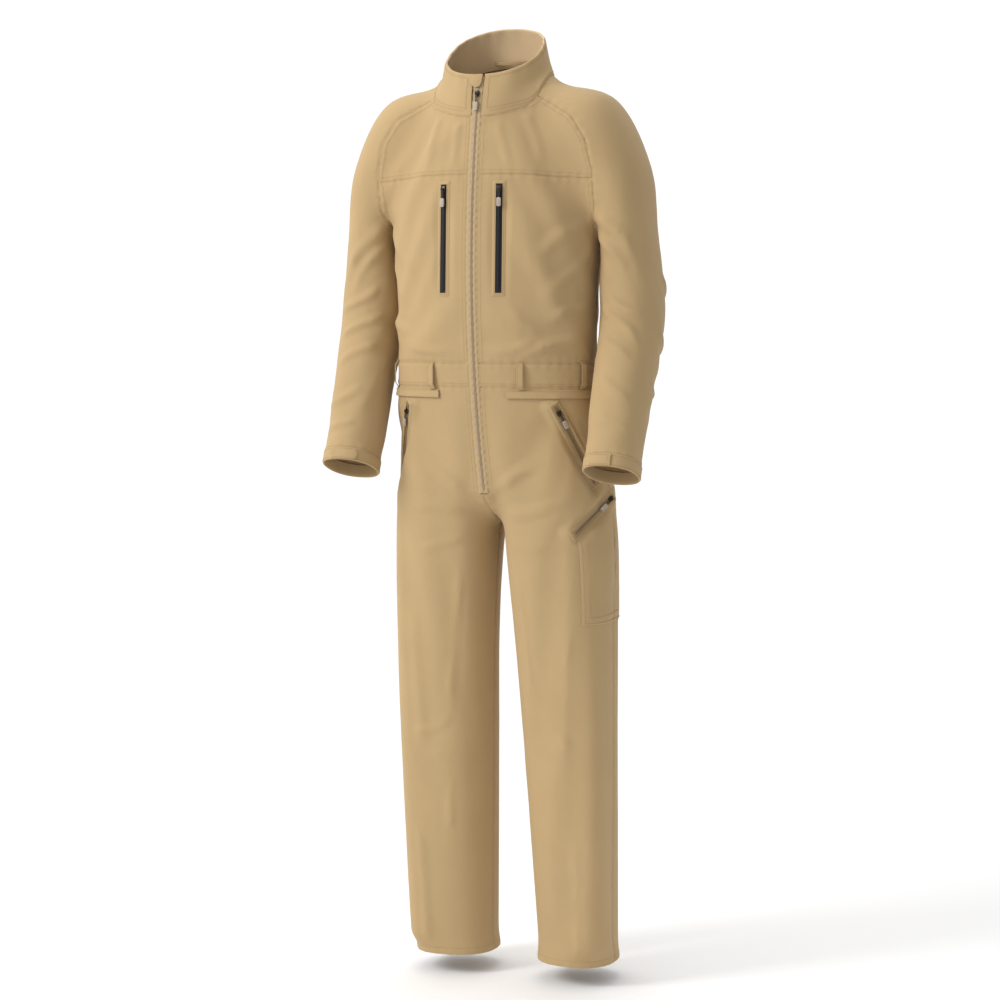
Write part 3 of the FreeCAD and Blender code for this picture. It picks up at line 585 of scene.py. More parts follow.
CLOTH_SETTINGS = {
    "quality": 5, "mass": 0.15, "tension_stiffness": 30.0, "compression_stiffness": 8.0,
    "shear_stiffness": 8.0, "bending_stiffness": 40.0, "bending_damping": 2.0,
    "tension_damping": 15.0, "compression_damping": 15.0, "air_damping": 3.0,
    "shrink_min": -0.012, "vertex_group_mass": "held", "pin_stiffness": 1.0,
}
FORM_GAP = 0.0015


def settle(cloth, form, frames=18):
    """Lets the cloth, cut a little larger than its form, hang on it and gather by its own weight."""
    before = coords(cloth.data)
    group = cloth.vertex_groups.new(name="held")
    for i, weight in enumerate(pin_weights(before)):
        if weight > 0.001:
            group.add([i], float(weight), "REPLACE")
    form.modifiers.new("form", "COLLISION")
    form.collision.thickness_outer = FORM_GAP
    form.collision.cloth_friction = 12.0
    hang = cloth.modifiers.new("hang", "CLOTH")
    for name, value in CLOTH_SETTINGS.items():
        setattr(hang.settings, name, value)
    hang.collision_settings.use_collision = True
    hang.collision_settings.distance_min = FORM_GAP
    hang.collision_settings.use_self_collision = False
    hang.point_cache.frame_start = 1
    hang.point_cache.frame_end = frames
    scene = bpy.context.scene
    for frame_number in range(1, frames + 1):
        scene.frame_set(frame_number)
    apply_modifiers(cloth)
    scene.frame_set(1)
    bpy.data.objects.remove(form)
    moved = even_out(coords(cloth.data) - before, edge_array(cloth.data), 10)
    free = 1 - pin_weights(before)
    free *= 0.25 + 0.75 * smooth((before[:, 2] - HEM) / 0.05)
    set_coords(cloth.data, before + moved * free[:, None])


def unspread(mesh):
    """Moves the sleeves and legs back to their own places."""
    co = coords(mesh)
    x, z = co[:, 0].copy(), co[:, 2]
    arms = arm_line(co) > 0
    co[:, 0] -= np.where((z < -0.17) & arms, np.sign(x) * arm_spread(z), 0)
    legs = ~arms & (z < -0.64)
    co[:, 0] -= np.where(legs, np.sign(x) * np.minimum(leg_spread(z), np.abs(x)), 0)
    set_coords(mesh, co)


# ---------------------------------------------------------------- building helpers

def grid(name, rows, closed=False):
    """Smooth sheet through rows of points; closed joins each row's two ends."""
    rows = np.array(rows, float)
    obj = new_object(name, rows.reshape(-1, 3), quads(*rows.shape[:2], closed))
    shade_smooth(obj)
    return obj


# Outline of a flat strip with rounded edges, of unit half width and half thickness.
STRIP_HALF = [(-1, 0), (-.96, .7), (-.86, 1), (-.4, 1), (0, 1), (.4, 1), (.86, 1), (.96, .7)]
ROUNDED_STRIP = STRIP_HALF + [(-u, -v) for u, v in STRIP_HALF]


def strap(name, path, across, up, width, thickness, ends=None):
    """Flat strip with rounded edges along a path; ends scales its width along the way."""
    path, across, up = (np.array(a, float) for a in (path, across, up))
    scale = np.ones(len(path)) if ends is None else np.array(ends)
    rows = [
        path + across * (u * width / 2) * scale[:, None] + up * (v * thickness / 2)
        for u, v in ROUNDED_STRIP
    ]
    high, wide = len(path), len(rows)
    sides, ends = quads(high, wide), caps(high, wide)
    obj = new_object(name, np.array(rows).transpose(1, 0, 2).reshape(-1, 3), sides + ends)
    obj.data.polygons.foreach_set("use_smooth", [True] * len(sides) + [False] * len(ends))
    face_outward(obj)
    return obj


def distances(path):
    """Distance from the start to each point of a path."""
    return np.concatenate([[0], np.cumsum(np.linalg.norm(np.diff(path, axis=0), axis=1))])


def unit(v):
    """Rows of an array made one long."""
    v = np.array(v, float)
    return v / np.maximum(np.linalg.norm(v, axis=-1, keepdims=True), 1e-12)


def frame_along(start, end, outward):
    """Matrix with local +X from start to end and local +Z outward, in metres."""
    x = (Vector(end) - Vector(start)).normalized()
    z = (Vector(outward) - x * x.dot(Vector(outward))).normalized()
    y = z.cross(x)
    made = Matrix((x, y, z)).transposed().to_4x4()
    made.translation = Vector(start)
    return made


def placed(frame_matrix, points):
    """Local points, in mm, moved into a frame."""
    m = np.array(frame_matrix)
    return np.array(points, float) * MM @ m[:3, :3].T + m[:3, 3]


def block(points_xy, low, high, bevel=0.0):
    """Vertices and faces of an upright prism over a local outline, in mm."""
    count = len(points_xy)
    bm = bmesh.new()
    bottom = [bm.verts.new((x, y, low)) for x, y in points_xy]
    top = [bm.verts.new((x, y, high)) for x, y in points_xy]
    bm.faces.new(list(reversed(bottom)))
    bm.faces.new(top)
    for k in range(count):
        n = (k + 1) % count
        bm.faces.new((bottom[k], bottom[n], top[n], top[k]))
    if bevel:
        bmesh.ops.bevel(bm, geom=list(bm.edges), offset=bevel, segments=2, affect="EDGES",
                        profile=0.5, clamp_overlap=True)
    bm.verts.index_update()
    points = np.array([v.co[:] for v in bm.verts])
    faces = [tuple(v.index for v in f.verts) for f in bm.faces]
    bm.free()
    return points, faces


def round_outline(width, height, radius, steps=4, centre=(0, 0)):
    """Rounded rectangle as a closed outline."""
    made = []
    for quarter, (sx, sy) in enumerate(((1, 1), (-1, 1), (-1, -1), (1, -1))):
        for k in range(steps + 1):
            a = (quarter + k / steps) * math.pi / 2
            made.append((centre[0] + sx * (width / 2 - radius) + radius * math.cos(a),
                         centre[1] + sy * (height / 2 - radius) + radius * math.sin(a)))
    return made


def torus(centre, radius, thick, around=(1, 0, 0), other=(0, 0, 1), turns=20, sides=8, stretch=1.0):
    """Vertices and faces of a ring in the plane of two directions, in mm."""
    a, b = np.array(around, float), np.array(other, float)
    c = np.cross(a, b)
    points = []
    for i in range(turns):
        t = 2 * math.pi * i / turns
        out = a * math.cos(t) * stretch + b * math.sin(t)
        middle = np.array(centre) + out * radius
        for k in range(sides):
            s = 2 * math.pi * k / sides
            points.append(middle + unit(out) * thick * math.cos(s) + c * thick * math.sin(s))
    return np.array(points), quads(turns, sides, looped=True)


def rod(a, b, radius, sides=10):
    """Vertices and faces of a round rod between two points, in mm."""
    a, b = np.array(a, float), np.array(b, float)
    along = unit(b - a)
    side = unit(np.cross(along, (0.3, 0.5, 0.8)))
    other = np.cross(along, side)
    points = []
    for end in (a, b):
        for k in range(sides):
            t = 2 * math.pi * k / sides
            points.append(end + radius * (math.cos(t) * side + math.sin(t) * other))
    return np.array(points), quads(2, sides) + caps(2, sides)


def merged(name, parts, frame_matrix, flat=False):
    """One object from several local meshes, set in a frame."""
    points, faces = joined(parts)
    obj = new_object(name, placed(frame_matrix, points), faces)
    face_outward(obj)
    if not flat:
        shade_smooth(obj)
        obj.data.set_sharp_from_angle(angle=math.radians(38))
    return obj


# ---------------------------------------------------------------- finishes

def tree(name):
    """Empty material, its node tree and its main shader."""
    material = bpy.data.materials.new(name)
    material.use_nodes = True
    return material, material.node_tree, material.node_tree.nodes["Principled BSDF"]


def set_inputs(node, **values):
    """Sets a node's inputs, named with _ for a space."""
    for name, value in values.items():
        node.inputs[name.replace("_", " ")].default_value = value
    return node


def relief(nodes, shader, height, **values):
    """Bumps a shader's surface by a height."""
    bump = set_inputs(nodes.nodes.new("ShaderNodeBump"), **values)
    nodes.links.new(height, bump.inputs["Height"])
    nodes.links.new(bump.outputs["Normal"], shader.inputs["Normal"])


def woven(name, colour, roughness=0.88, sheen=0.12, depth=0.35, pitch=0.0009, tint=0.05):
    """Woven cloth: a fine twill, soft sheen and a slight unevenness of shade."""
    material, nodes, shader = tree(name)
    make, link = nodes.nodes.new, nodes.links.new
    set_inputs(shader, Roughness=roughness, Sheen_Weight=sheen, Sheen_Roughness=0.45,
               Specular_IOR_Level=0.25, Sheen_Tint=(1.0, 0.93, 0.82, 1.0))
    place = make("ShaderNodeTexCoord").outputs["Object"]
    uneven = set_inputs(make("ShaderNodeTexNoise"), Scale=14.0, Detail=5.0)
    mix = make("ShaderNodeMix")
    mix.data_type = "RGBA"
    mix.inputs["A"].default_value = (*[c * (1 - tint) for c in colour], 1)
    mix.inputs["B"].default_value = (*[min(1, c * (1 + tint)) for c in colour], 1)
    link(uneven.outputs["Fac"], mix.inputs["Factor"])
    link(mix.outputs["Result"], shader.inputs["Base Color"])
    weave = set_inputs(make("ShaderNodeTexWave"), Scale=0.1 / pitch, Distortion=0.6)
    weave.wave_type = "BANDS"
    weave.bands_direction = "DIAGONAL"
    slub = set_inputs(make("ShaderNodeTexNoise"), Scale=420.0, Detail=2.0)
    for node in (uneven, weave, slub):
        link(place, node.inputs["Vector"])
    total = make("ShaderNodeMath")
    total.operation = "ADD"
    link(weave.outputs["Fac"], total.inputs[0])
    link(slub.outputs["Fac"], total.inputs[1])
    relief(nodes, shader, total.outputs["Value"], Strength=depth, Distance=0.00012)
    return material


def plain(name, colour, roughness, metallic=0.0, grain=0.00003):
    """Moulded or metal finish with a faint grain."""
    material, nodes, shader = tree(name)
    set_inputs(shader, Base_Color=(*colour, 1), Roughness=roughness, Metallic=metallic)
    noise = set_inputs(nodes.nodes.new("ShaderNodeTexNoise"), Scale=900.0)
    place = nodes.nodes.new("ShaderNodeTexCoord")
    nodes.links.new(place.outputs["Object"], noise.inputs["Vector"])
    relief(nodes, shader, noise.outputs["Fac"], Distance=grain)
    return material


cloth = woven("suit_cloth", (0.455, 0.318, 0.160))
thread = woven("thread", (0.29, 0.19, 0.09), sheen=0.1, depth=0.1)
inner_cloth = woven("inner_cloth", (0.40, 0.28, 0.145))
# Collar lining: the suit cloth given a lighter colour than the shell, painted light that stands in for
# the light reaching inside the collar.
lining_painted_light = woven("lining_painted_light", (0.64, 0.47, 0.275))
front_tape = woven("front_tape", (0.465, 0.335, 0.185), pitch=0.0012)
front_coil = plain("front_coil", (0.46, 0.345, 0.225), 0.45)
tan_coil = plain("tan_coil", (0.30, 0.21, 0.115), 0.5)
dark_tape = woven("dark_tape", (0.022, 0.020, 0.024), sheen=0.1, tint=0.2)
dark_coil = plain("dark_coil", (0.012, 0.011, 0.013), 0.38)
metal = plain("slider_metal", (0.055, 0.047, 0.040), 0.36, 0.85)
cord_dark = woven("cord", (0.05, 0.042, 0.036), depth=0.2, tint=0.15)
pull_end = plain("pull_end", (0.42, 0.36, 0.30), 0.62)


def finish_with(obj, material):
    """Gives an object its one material."""
    obj.data.materials.clear()
    obj.data.materials.append(material)
    return obj


def fit(obj, material, body="torso", node=None):
    """Finishes a piece, rides it on its body and hides the CAD part that it replaces."""
    finish_with(obj, material)
    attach(obj, body)
    if node:
        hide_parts(node)
    return obj


# ---------------------------------------------------------------- the sewn skin

suit = skin()
fill_valleys(suit.data, joined_zones, 120)
set_coords(suit.data, even_out(coords(suit.data), edge_array(suit.data), 8, (0.5, -0.52)))
form = new_object("form", coords(suit.data) - 0.006 * normals(suit.data),
                  [tuple(p.vertices) for p in suit.data.polygons])
cut_seams(suit)
unspread(form.data)
unspread(suit.data)
settle(suit, form)

finer = suit.modifiers.new("finer", "SUBSURF")
finer.levels = finer.render_levels = 1
finer.boundary_smooth = "PRESERVE_CORNERS"
apply_modifiers(suit)
piece_numbers = np.empty(len(suit.data.polygons), np.int32)
suit.data.attributes["piece"].data.foreach_get("value", piece_numbers)


def seam_chains():
    """Lines of vertices where two pieces meet or one ends, by the pair of pieces."""
    mesh = suit.data
    touching = {}
    for face in mesh.polygons:
        for key in face.edge_keys:
            touching.setdefault(key, []).append(int(piece_numbers[face.index]))
    links = {}
    for (a, b), pieces in touching.items():
        pair = tuple(sorted(pieces)) if len(pieces) == 2 else (-1, pieces[0])
        if len(pieces) == 1 or pair[0] != pair[1]:
            links.setdefault(pair, []).append((a, b))
    chains = {}
    for pair, edges in links.items():
        near = {}
        for a, b in edges:
            near.setdefault(a, []).append(b)
            near.setdefault(b, []).append(a)
        left = {tuple(sorted(e)) for e in edges}
        made = []
        starts = [v for v in near if len(near[v]) != 2] + list(near)
        for start in starts:
            while True:
                step = next((n for n in near[start] if tuple(sorted((start, n))) in left), None)
                if step is None:
                    break
                line, here = [start], start
                while step is not None:
                    left.discard(tuple(sorted((here, step))))
                    line.append(step)
                    here = step
                    if len(near[here]) != 2:
                        break
                    step = next((n for n in near[here] if tuple(sorted((here, n))) in left), None)
                made.append(line)
        chains[pair] = made
    return chains


chains = seam_chains()


def name_of(number):
    """Name of a piece without its side."""
    return PIECES[number].replace("_right", "").replace("_left", "") if number >= 0 else "edge"


# Rows of topstitching: (piece stitched, its neighbour): distances from the seam, in mm.
STITCHED = {
    ("front_yoke", "sleeve_upper"): (1.6, 7.5), ("front_panel", "sleeve_upper"): (1.6, 7.5),
    ("back_yoke", "sleeve_upper"): (1.6, 7.5), ("back_panel", "sleeve_upper"): (1.6, 7.5),
    ("front_yoke", "front_panel"): (1.6, 7.5), ("back_yoke", "back_panel"): (1.6, 7.5),
    ("waistband_front", "front_panel"): (1.6,), ("waistband_back", "back_panel"): (1.6,),
    ("waistband_front", "trouser_front"): (1.6, 6.0),
    ("waistband_back", "trouser_back"): (1.6, 6.0),
    ("trouser_back", "trouser_front"): (1.6, 7.5),
    ("front_yoke", "edge"): (2.0, 7.0), ("front_panel", "edge"): (2.0, 7.0),
    ("waistband_front", "edge"): (2.0,), ("trouser_front", "edge"): (2.0, 7.0),
    ("trouser_back", "edge"): (10.0,), ("sleeve_lower", "edge"): (2.0,),
}
HEM_ROW = 11.0


def seam_shape():
    """Sinks the seams, raises the turned cloth beside them and gathers it slightly."""
    co = coords(suit.data)
    facing = normals(suit.data)
    owner = np.zeros(len(co), int)
    for face in suit.data.polygons:
        for v in face.vertices:
            owner[v] = piece_numbers[face.index]
    points, raised, along = [], [], []
    for (a, b), lines in chains.items():
        if name_of(a).startswith("sleeve") and name_of(b).startswith("sleeve"):
            continue
        stitched = [n for n, m in ((a, b), (b, a)) if (name_of(n), name_of(m)) in STITCHED]
        for line in lines:
            points.extend(co[line])
            raised.extend([(stitched, a == -1)] * len(line))
            along.extend(distances(co[line]))
    near = KDTree(len(points))
    for k, point in enumerate(points):
        near.insert(point, k)
    near.balance()
    push = np.zeros(len(co))
    for v, point in enumerate(co):
        _, k, d = near.find(point)
        if d > 0.028:
            continue
        stitched, on_edge = raised[k]
        ridge = (0.0006 if owner[v] in stitched else 0.0002) * (1 - smooth((d - 0.006) / 0.005))
        groove = 0.0 if on_edge else -0.0015 * math.exp(-(d / 0.0022) ** 2)
        wave = math.sin(along[k] * 2 * math.pi / 0.017 + 1.7 * math.sin(along[k] * 37.0))
        fade = math.exp(-(max(0.0, d - 0.003) / 0.0075) ** 2)
        push[v] = ridge + groove + 0.00035 * wave * fade
    set_coords(suit.data, co + facing * push[:, None])


def body_front(x, z):
    """Reach of the body's front at a distance from the middle and a level, in mm, as in CAD."""
    rows = [(r[0], r[2], r[3]) for r in BODY[5:11] if r[0] != -441]
    levels = [r[0] for r in rows][::-1]
    half = np.interp(z, levels, [r[1] for r in rows][::-1])
    back = np.interp(z, levels, [r[2] for r in rows][::-1])
    front = front_y(z * MM) / MM
    depth = (1 - min(1, abs(x) / half) ** FULLNESS) ** (1 / FULLNESS)
    return (back + front) / 2 - (back - front) / 2 * depth


# Pocket zips by the start of their names: length, closed place of the slider, tape, coil and slot.
ZIPS = {
    "chest": (172.0, 8.0, dark_tape, dark_coil, "dark_zip"),
    "hand_": (156.1, 16.0, inner_cloth, tan_coil, "tan_zip"),
    "thigh": (102.4, 8.0, inner_cloth, tan_coil, "tan_zip"),
}
# Frame of each pocket zip: local +X down the zip, local +Z away from the cloth.
frames = {}
for name, x in (("right", -50), ("left", 45)):
    top, bottom = -158, -330
    ends = []
    for z in (top, bottom):
        level = min(z, -195)
        recede = body_front(x, level) - front_y(level * MM) / MM
        ends.append(np.array((x, front_y(z * MM) / MM + recede, z)) * MM)
    facing = (math.copysign(0.19, x), -1, 0)
    frames[f"chest_zip_{name}"] = frame_along(ends[0], ends[1], facing)
for name, side in SIDES:
    frames[f"hand_zip_{name}"] = frame_along(
        (side * .126, -.082, -.507), (side * .171, -.006, -.643), (side * .67, -.74, 0))
frames["thigh_zip"] = frame_along((.189, .020, -.657), (.148, -.052, -.717), (.86, -.5, 0))


def press_zip_beds():
    """Lays the cloth flat under the tape of each pocket zip."""
    co = coords(suit.data)
    for name, matrix in frames.items():
        length = ZIPS[name[:5]][0]
        m = np.array(matrix)
        local = (co - m[:3, 3]) @ m[:3, :3] / MM
        beyond = np.maximum(np.abs(local[:, 0] - length / 2) - length / 2, 0)
        off = np.maximum(np.abs(local[:, 1]) - 7.0, 0)
        share = 1 - smooth(np.hypot(beyond, off) / 15.0)
        share = np.where(np.abs(local[:, 2]) < 26, share, 0)
        shift = (-0.6 - local[:, 2]) * share * MM
        co = co + shift[:, None] * m[:3, 2]
    set_coords(suit.data, co)


# Soft folds that the cloth sets into where it is bent or pulled: ends of each, in mm, then half
# width and height. Every fold is a ridge with a hollow at each side.
FOLDS = [
    # left sleeve: from the armpit over the upper arm, round the elbow and above the cuff
    ((186, -40, -196), (250, -62, -262), 11, 4.9), ((184, -36, -230), (238, -66, -300), 10, 4.3),
    ((200, -58, -330), (262, -30, -372), 9, 5.2), ((190, -48, -352), (258, -62, -402), 9, 5.2),
    ((188, -60, -398), (250, -84, -424), 9, 3.8), ((196, -96, -452), (256, -88, -500), 10, 3.5),
    ((206, -120, -520), (262, -98, -548), 8, 2.6), ((262, 20, -300), (232, 66, -352), 10, 4.3),
    ((270, -8, -390), (236, 34, -430), 10, 4.6), ((262, -40, -470), (226, 10, -508), 9, 3.5),
    # right sleeve
    ((-186, -40, -206), (-246, -60, -282), 11, 4.9), ((-184, -38, -248), (-240, -66, -322), 10, 4.3),
    ((-194, -54, -322), (-262, -36, -362), 9, 5.2), ((-188, -50, -366), (-256, -66, -396), 9, 4.9),
    ((-190, -66, -412), (-254, -76, -446), 9, 3.8), ((-202, -104, -476), (-262, -88, -516), 10, 3.2),
    ((-208, -122, -534), (-258, -100, -556), 8, 2.6), ((-264, 18, -310), (-236, 64, -350), 10, 4.3),
    ((-270, -6, -380), (-238, 34, -436), 10, 4.6),
    # chest, from the armpits, and the fullness above the waistband
    ((172, -40, -214), (104, -96, -268), 14, 3.8), ((170, -30, -252), (116, -92, -330), 13, 3.2),
    ((-172, -40, -220), (-112, -96, -290), 14, 3.2), ((-170, -30, -262), (-126, -88, -344), 12, 3.0),
    ((34, -116, -421), (96, -104, -410), 9, 3.2), ((84, -108, -428), (160, -50, -402), 9, 3.8),
    ((-40, -116, -424), (-120, -94, -414), 9, 3.0), ((-120, -96, -392), (-168, -40, -370), 11, 3.5),
    ((120, -90, -372), (168, -30, -344), 11, 3.8), ((62, -112, -356), (110, -102, -394), 11, 2.2),
    # below the collar
    ((-26, -88, -34), (-36, -112, -128), 8, 2.6), ((-58, -64, -24), (-84, -104, -128), 10, 2.8),
    ((28, -88, -34), (58, -112, -124), 8, 2.8), ((58, -62, -26), (110, -96, -120), 10, 2.8),
    # back
    ((-110, 104, -250), (-40, 122, -330), 17, 3.5), ((110, 104, -262), (52, 120, -344), 17, 3.5),
    ((-130, 84, -380), (-20, 112, -420), 11, 3.2), ((132, 84, -392), (30, 112, -424), 10, 3.2),
    # groin, thighs, knees and hems
    ((8, -92, -664), (96, -92, -604), 12, 3.8), ((-8, -92, -666), (-98, -90, -606), 12, 3.8),
    ((22, -84, -690), (130, -84, -668), 12, 3.5), ((-22, -84, -692), (-134, -80, -676), 12, 3.5),
    ((30, -76, -730), (120, -84, -742), 11, 2.2), ((-30, -76, -728), (-124, -82, -752), 11, 2.2),
    ((40, -70, -800), (60, -64, -1010), 13, 2.8), ((-44, -70, -790), (-64, -64, -1000), 13, 2.8),
    ((140, -70, -880), (128, -60, -1090), 14, 2.8), ((-142, -70, -840), (-126, -60, -1080), 14, 2.8),
    ((70, -60, -1020), (140, -48, -1062), 12, 2.8), ((52, -56, -1092), (118, -46, -1076), 11, 2.5),
    ((-70, -60, -1030), (-140, -48, -1060), 12, 2.8), ((-52, -56, -1110), (-120, -46, -1090), 11, 2.5),
    ((70, -46, -1180), (84, -28, -1400), 13, 3.2), ((-74, -46, -1160), (-88, -28, -1400), 13, 3.2),
    ((136, -30, -1240), (132, -20, -1425), 12, 3.2), ((-138, -30, -1230), (-130, -20, -1425), 12, 3.2),
    ((60, 110, -760), (150, 96, -800), 14, 3.5), ((-60, 110, -766), (-150, 96, -810), 14, 3.5),
    ((60, 100, -1000), (140, 92, -1040), 12, 3.8), ((-60, 100, -1004), (-140, 92, -1046), 12, 3.8),
    ((50, 104, -1070), (130, 96, -1090), 11, 3.5), ((-50, 104, -1072), (-130, 96, -1100), 11, 3.5),
]


def press_folds():
    """Sets the folds, away from the zips and the free edges."""
    co = coords(suit.data)
    facing = normals(suit.data)
    free = 1 - pin_weights(co)
    push = np.zeros(len(co))
    for number, (start, end, half, high) in enumerate(FOLDS):
        a, b = np.array(start) * MM, np.array(end) * MM
        line = b - a
        length = np.linalg.norm(line)
        t = ((co - a) @ line) / length ** 2
        bow = 0.06 * length * math.sin(number * 2.4)
        middle = a + np.clip(t, -0.2, 1.2)[:, None] * line
        middle[:, 2] += bow * np.sin(np.clip(t, 0, 1) * math.pi)
        away = co - middle
        depth_off = (away * facing).sum(axis=1)
        across = np.linalg.norm(away - facing * depth_off[:, None], axis=1)
        r = across / (half * MM)
        ends = smooth((t + 0.15) / 0.4) * smooth((1.15 - t) / 0.4)
        ends = ends * (np.abs(depth_off) < 0.034)
        push += ends * high * MM * ((1 - 0.9 * r * r) * np.exp(-r * r))
    set_coords(suit.data, co + even_out(facing * (push * free)[:, None], edge_array(suit.data), 3))


press_folds()
press_zip_beds()
seam_shape()
cloth_co = coords(suit.data)
cloth_normals = normals(suit.data)
cloth_faces = [tuple(f.vertices) for f in suit.data.polygons]
cloth_tree = BVHTree.FromPolygons([tuple(c) for c in cloth_co], cloth_faces)


def land(point, lift=0.0):
    """Nearest point of the cloth, lifted off it, and the cloth's outward direction there."""
    place, normal, _, _ = cloth_tree.find_nearest(Vector(point))
    return np.array(place) + np.array(normal) * lift, np.array(normal)


def land_all(points, lift=0.0):
    """Nearest points of the cloth and its directions, for an array of points."""
    found = [land(p, lift) for p in points]
    return np.array([f[0] for f in found]), np.array([f[1] for f in found])


def join_to_body(obj, piece):
    """Attaches a piece of the trunk to the torso; a sleeve or trouser piece only has its transform baked
    into its mesh.
    """
    if piece.startswith("sleeve_upper"):
        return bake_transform(obj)
    if piece.startswith("sleeve_lower"):
        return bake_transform(obj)
    if piece.startswith("trouser"):
        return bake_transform(obj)
    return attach(obj, "torso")


# Each panel as it is cut: width and length in metres, area in square metres, and the piece that
# it hangs from.
PANELS = {
    "front_yoke": ((0.190, 0.190), 0.0190, "collar_outer"),
    "front_panel": ((0.215, 0.315), 0.0655, "front_yoke"),
    "waistband_front": ((0.205, 0.043), 0.0087, "front_panel"),
    "back_yoke": ((0.420, 0.200), 0.0536, "collar_outer"),
    "back_panel": ((0.440, 0.320), 0.1271, "back_yoke"),
    "waistband_back": ((0.420, 0.041), 0.0167, "back_panel"),
    "sleeve_upper": ((0.430, 0.340), 0.1011, "back_yoke"),
    "sleeve_lower": ((0.360, 0.340), 0.1020, "sleeve_upper"),
    "trouser_front": ((0.310, 0.980), 0.2400, "waistband_front"),
    "trouser_back": ((0.330, 0.980), 0.2431, "waistband_back"),
}


def split_panels():
    """One object for each cloth piece, shaded as one surface where they meet."""
    made = {}
    for number, piece in enumerate(PIECES):
        mine = [f for f, n in zip(cloth_faces, piece_numbers) if n == number]
        used = sorted({v for f in mine for v in f})
        place = {v: k for k, v in enumerate(used)}
        obj = new_object(piece, cloth_co[used], [tuple(place[v] for v in f) for f in mine])
        shade_smooth(obj)
        obj.data.normals_split_custom_set_from_vertices([tuple(n) for n in cloth_normals[used]])
        finish_with(obj, cloth)
        join_to_body(obj, piece)
        nodes = [piece]
        if piece.startswith("trouser"):
            nodes.append(piece.replace("trouser", "lower_leg"))
        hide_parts(*nodes)
        made[piece] = obj
    return made


panels = split_panels()


def declare_panel(piece):
    """Looks up a panel's cut size and the piece that it hangs from, and does nothing with them."""
    flat, area, holder = PANELS[name_of(PIECES.index(piece))]
    if f"{holder}_shape" not in bpy.data.objects:
        holder += "_right" if piece.endswith("right") else "_left"


# ---------------------------------------------------------------- topstitching

STITCH_PITCH = 0.0034
STITCH_LENGTH = 0.0026
STITCH_HALF = 0.00042
STITCH_HIGH = 0.00032
STITCH_SUNK = 0.0001
stitches = {}


def stitch_row(piece, path, lift=0.00018, project=True):
    """Adds a row of stitches along a path on one piece of cloth."""
    path = np.array(path, float)
    run = distances(path)
    if run[-1] < 2 * STITCH_PITCH:
        return
    middles = np.arange(STITCH_PITCH, run[-1] - STITCH_PITCH / 2, STITCH_PITCH)
    points, faces = stitches.setdefault(piece, ([], []))
    for at in middles:
        ends = []
        for shift in (-STITCH_LENGTH / 2, 0, STITCH_LENGTH / 2):
            ends.append(np.array([np.interp(at + shift, run, path[:, k]) for k in range(3)]))
        place, normal = land(ends[1])
        if project:
            ends = [e + (place - ends[1]) for e in ends]
        along = unit(ends[2] - ends[0])
        side = unit(np.cross(normal, along))
        a, b = ends[0] - normal * STITCH_SUNK, ends[2] - normal * STITCH_SUNK
        m = ends[1] + normal * lift
        left, right = m + side * STITCH_HALF, m - side * STITCH_HALF
        start = len(points)
        points.extend([a, left, m + normal * STITCH_HIGH, right, b])
        faces.extend([(start, start + 1, start + 2), (start, start + 2, start + 3),
                      (start + 4, start + 2, start + 1), (start + 4, start + 3, start + 2)])


def smooth_line(path, rounds=3):
    """Path with its small steps evened out."""
    path = np.array(path, float)
    for _ in range(rounds):
        path[1:-1] = 0.5 * path[1:-1] + 0.25 * (path[:-2] + path[2:])
    return path


def beside(line, number, distance):
    """Path at a distance from a seam, on the side of one piece."""
    place = smooth_line(cloth_co[line])
    along = unit(np.gradient(place, axis=0))
    side = unit(np.cross(cloth_normals[line], along))
    middle = len(place) // 2
    inner = next((f for f in vertex_faces[line[middle]] if piece_numbers[f] == number), None)
    if inner is not None:
        centre = np.array(suit.data.polygons[inner].center)
        if np.dot(centre - place[middle], side[middle]) < 0:
            side = -side
    return place + side * distance * MM


vertex_faces = {}
for face in suit.data.polygons:
    for v in face.vertices:
        vertex_faces.setdefault(v, []).append(face.index)

for (a, b), lines in chains.items():
    for number, other in ((a, b), (b, a)):
        rows = STITCHED.get((name_of(number), name_of(other)), ())
        for line in lines:
            if len(line) < 4:
                continue
            level = cloth_co[line][:, 2]
            if other == -1 and np.ptp(level) < 0.02 and level.mean() < HEM + 0.03:
                rows = (HEM_ROW,)
            elif other == -1 and name_of(number) == "trouser_back":
                continue
            for distance in rows:
                stitch_row(PIECES[number], beside(line, number, distance))


# ---------------------------------------------------------------- collar

def ring_path(section, count=400):
    """Points round a body section, from the right front edge round the back to the left one."""
    centre, half, depth = body_axes(section)
    u, v = rounded(-math.pi / 2 - np.linspace(0, 2 * math.pi, count))
    points = (np.array(centre) + np.outer(u, (half, 0, 0)) + np.outer(v, depth)) * MM
    keep = (np.abs(points[:, 0]) >= SLOT_HALF) | (points[:, 1] > 0)
    return points[keep]


def resample(path, count):
    """Evenly spaced points along a path."""
    run = distances(path)
    at = np.linspace(0, run[-1], count)
    return np.stack([np.interp(at, run, path[:, k]) for k in range(3)], axis=1)


AROUND = 180
neck_ring = resample(ring_path(BODY[1]), AROUND)
rim_ring = resample(ring_path(BODY[0]), AROUND)
edge_points = np.array([
    cloth_co[v] for (a, b), lines in chains.items() if a == -1 for line in lines for v in line
    if abs(cloth_co[v][0]) < 0.11 and neck_line(cloth_co[v][None])[0] > -0.004
])
share = np.linspace(0, 1, AROUND)
out = unit(np.cross(np.gradient(neck_ring, axis=0), rim_ring - neck_ring))
if np.dot(out[AROUND // 2], (0, 1, 0)) < 0:
    out = -out
gap = smooth_line([
    edge_points[np.argmin(np.linalg.norm(edge_points - p, axis=1))] - p for p in neck_ring
], 6)


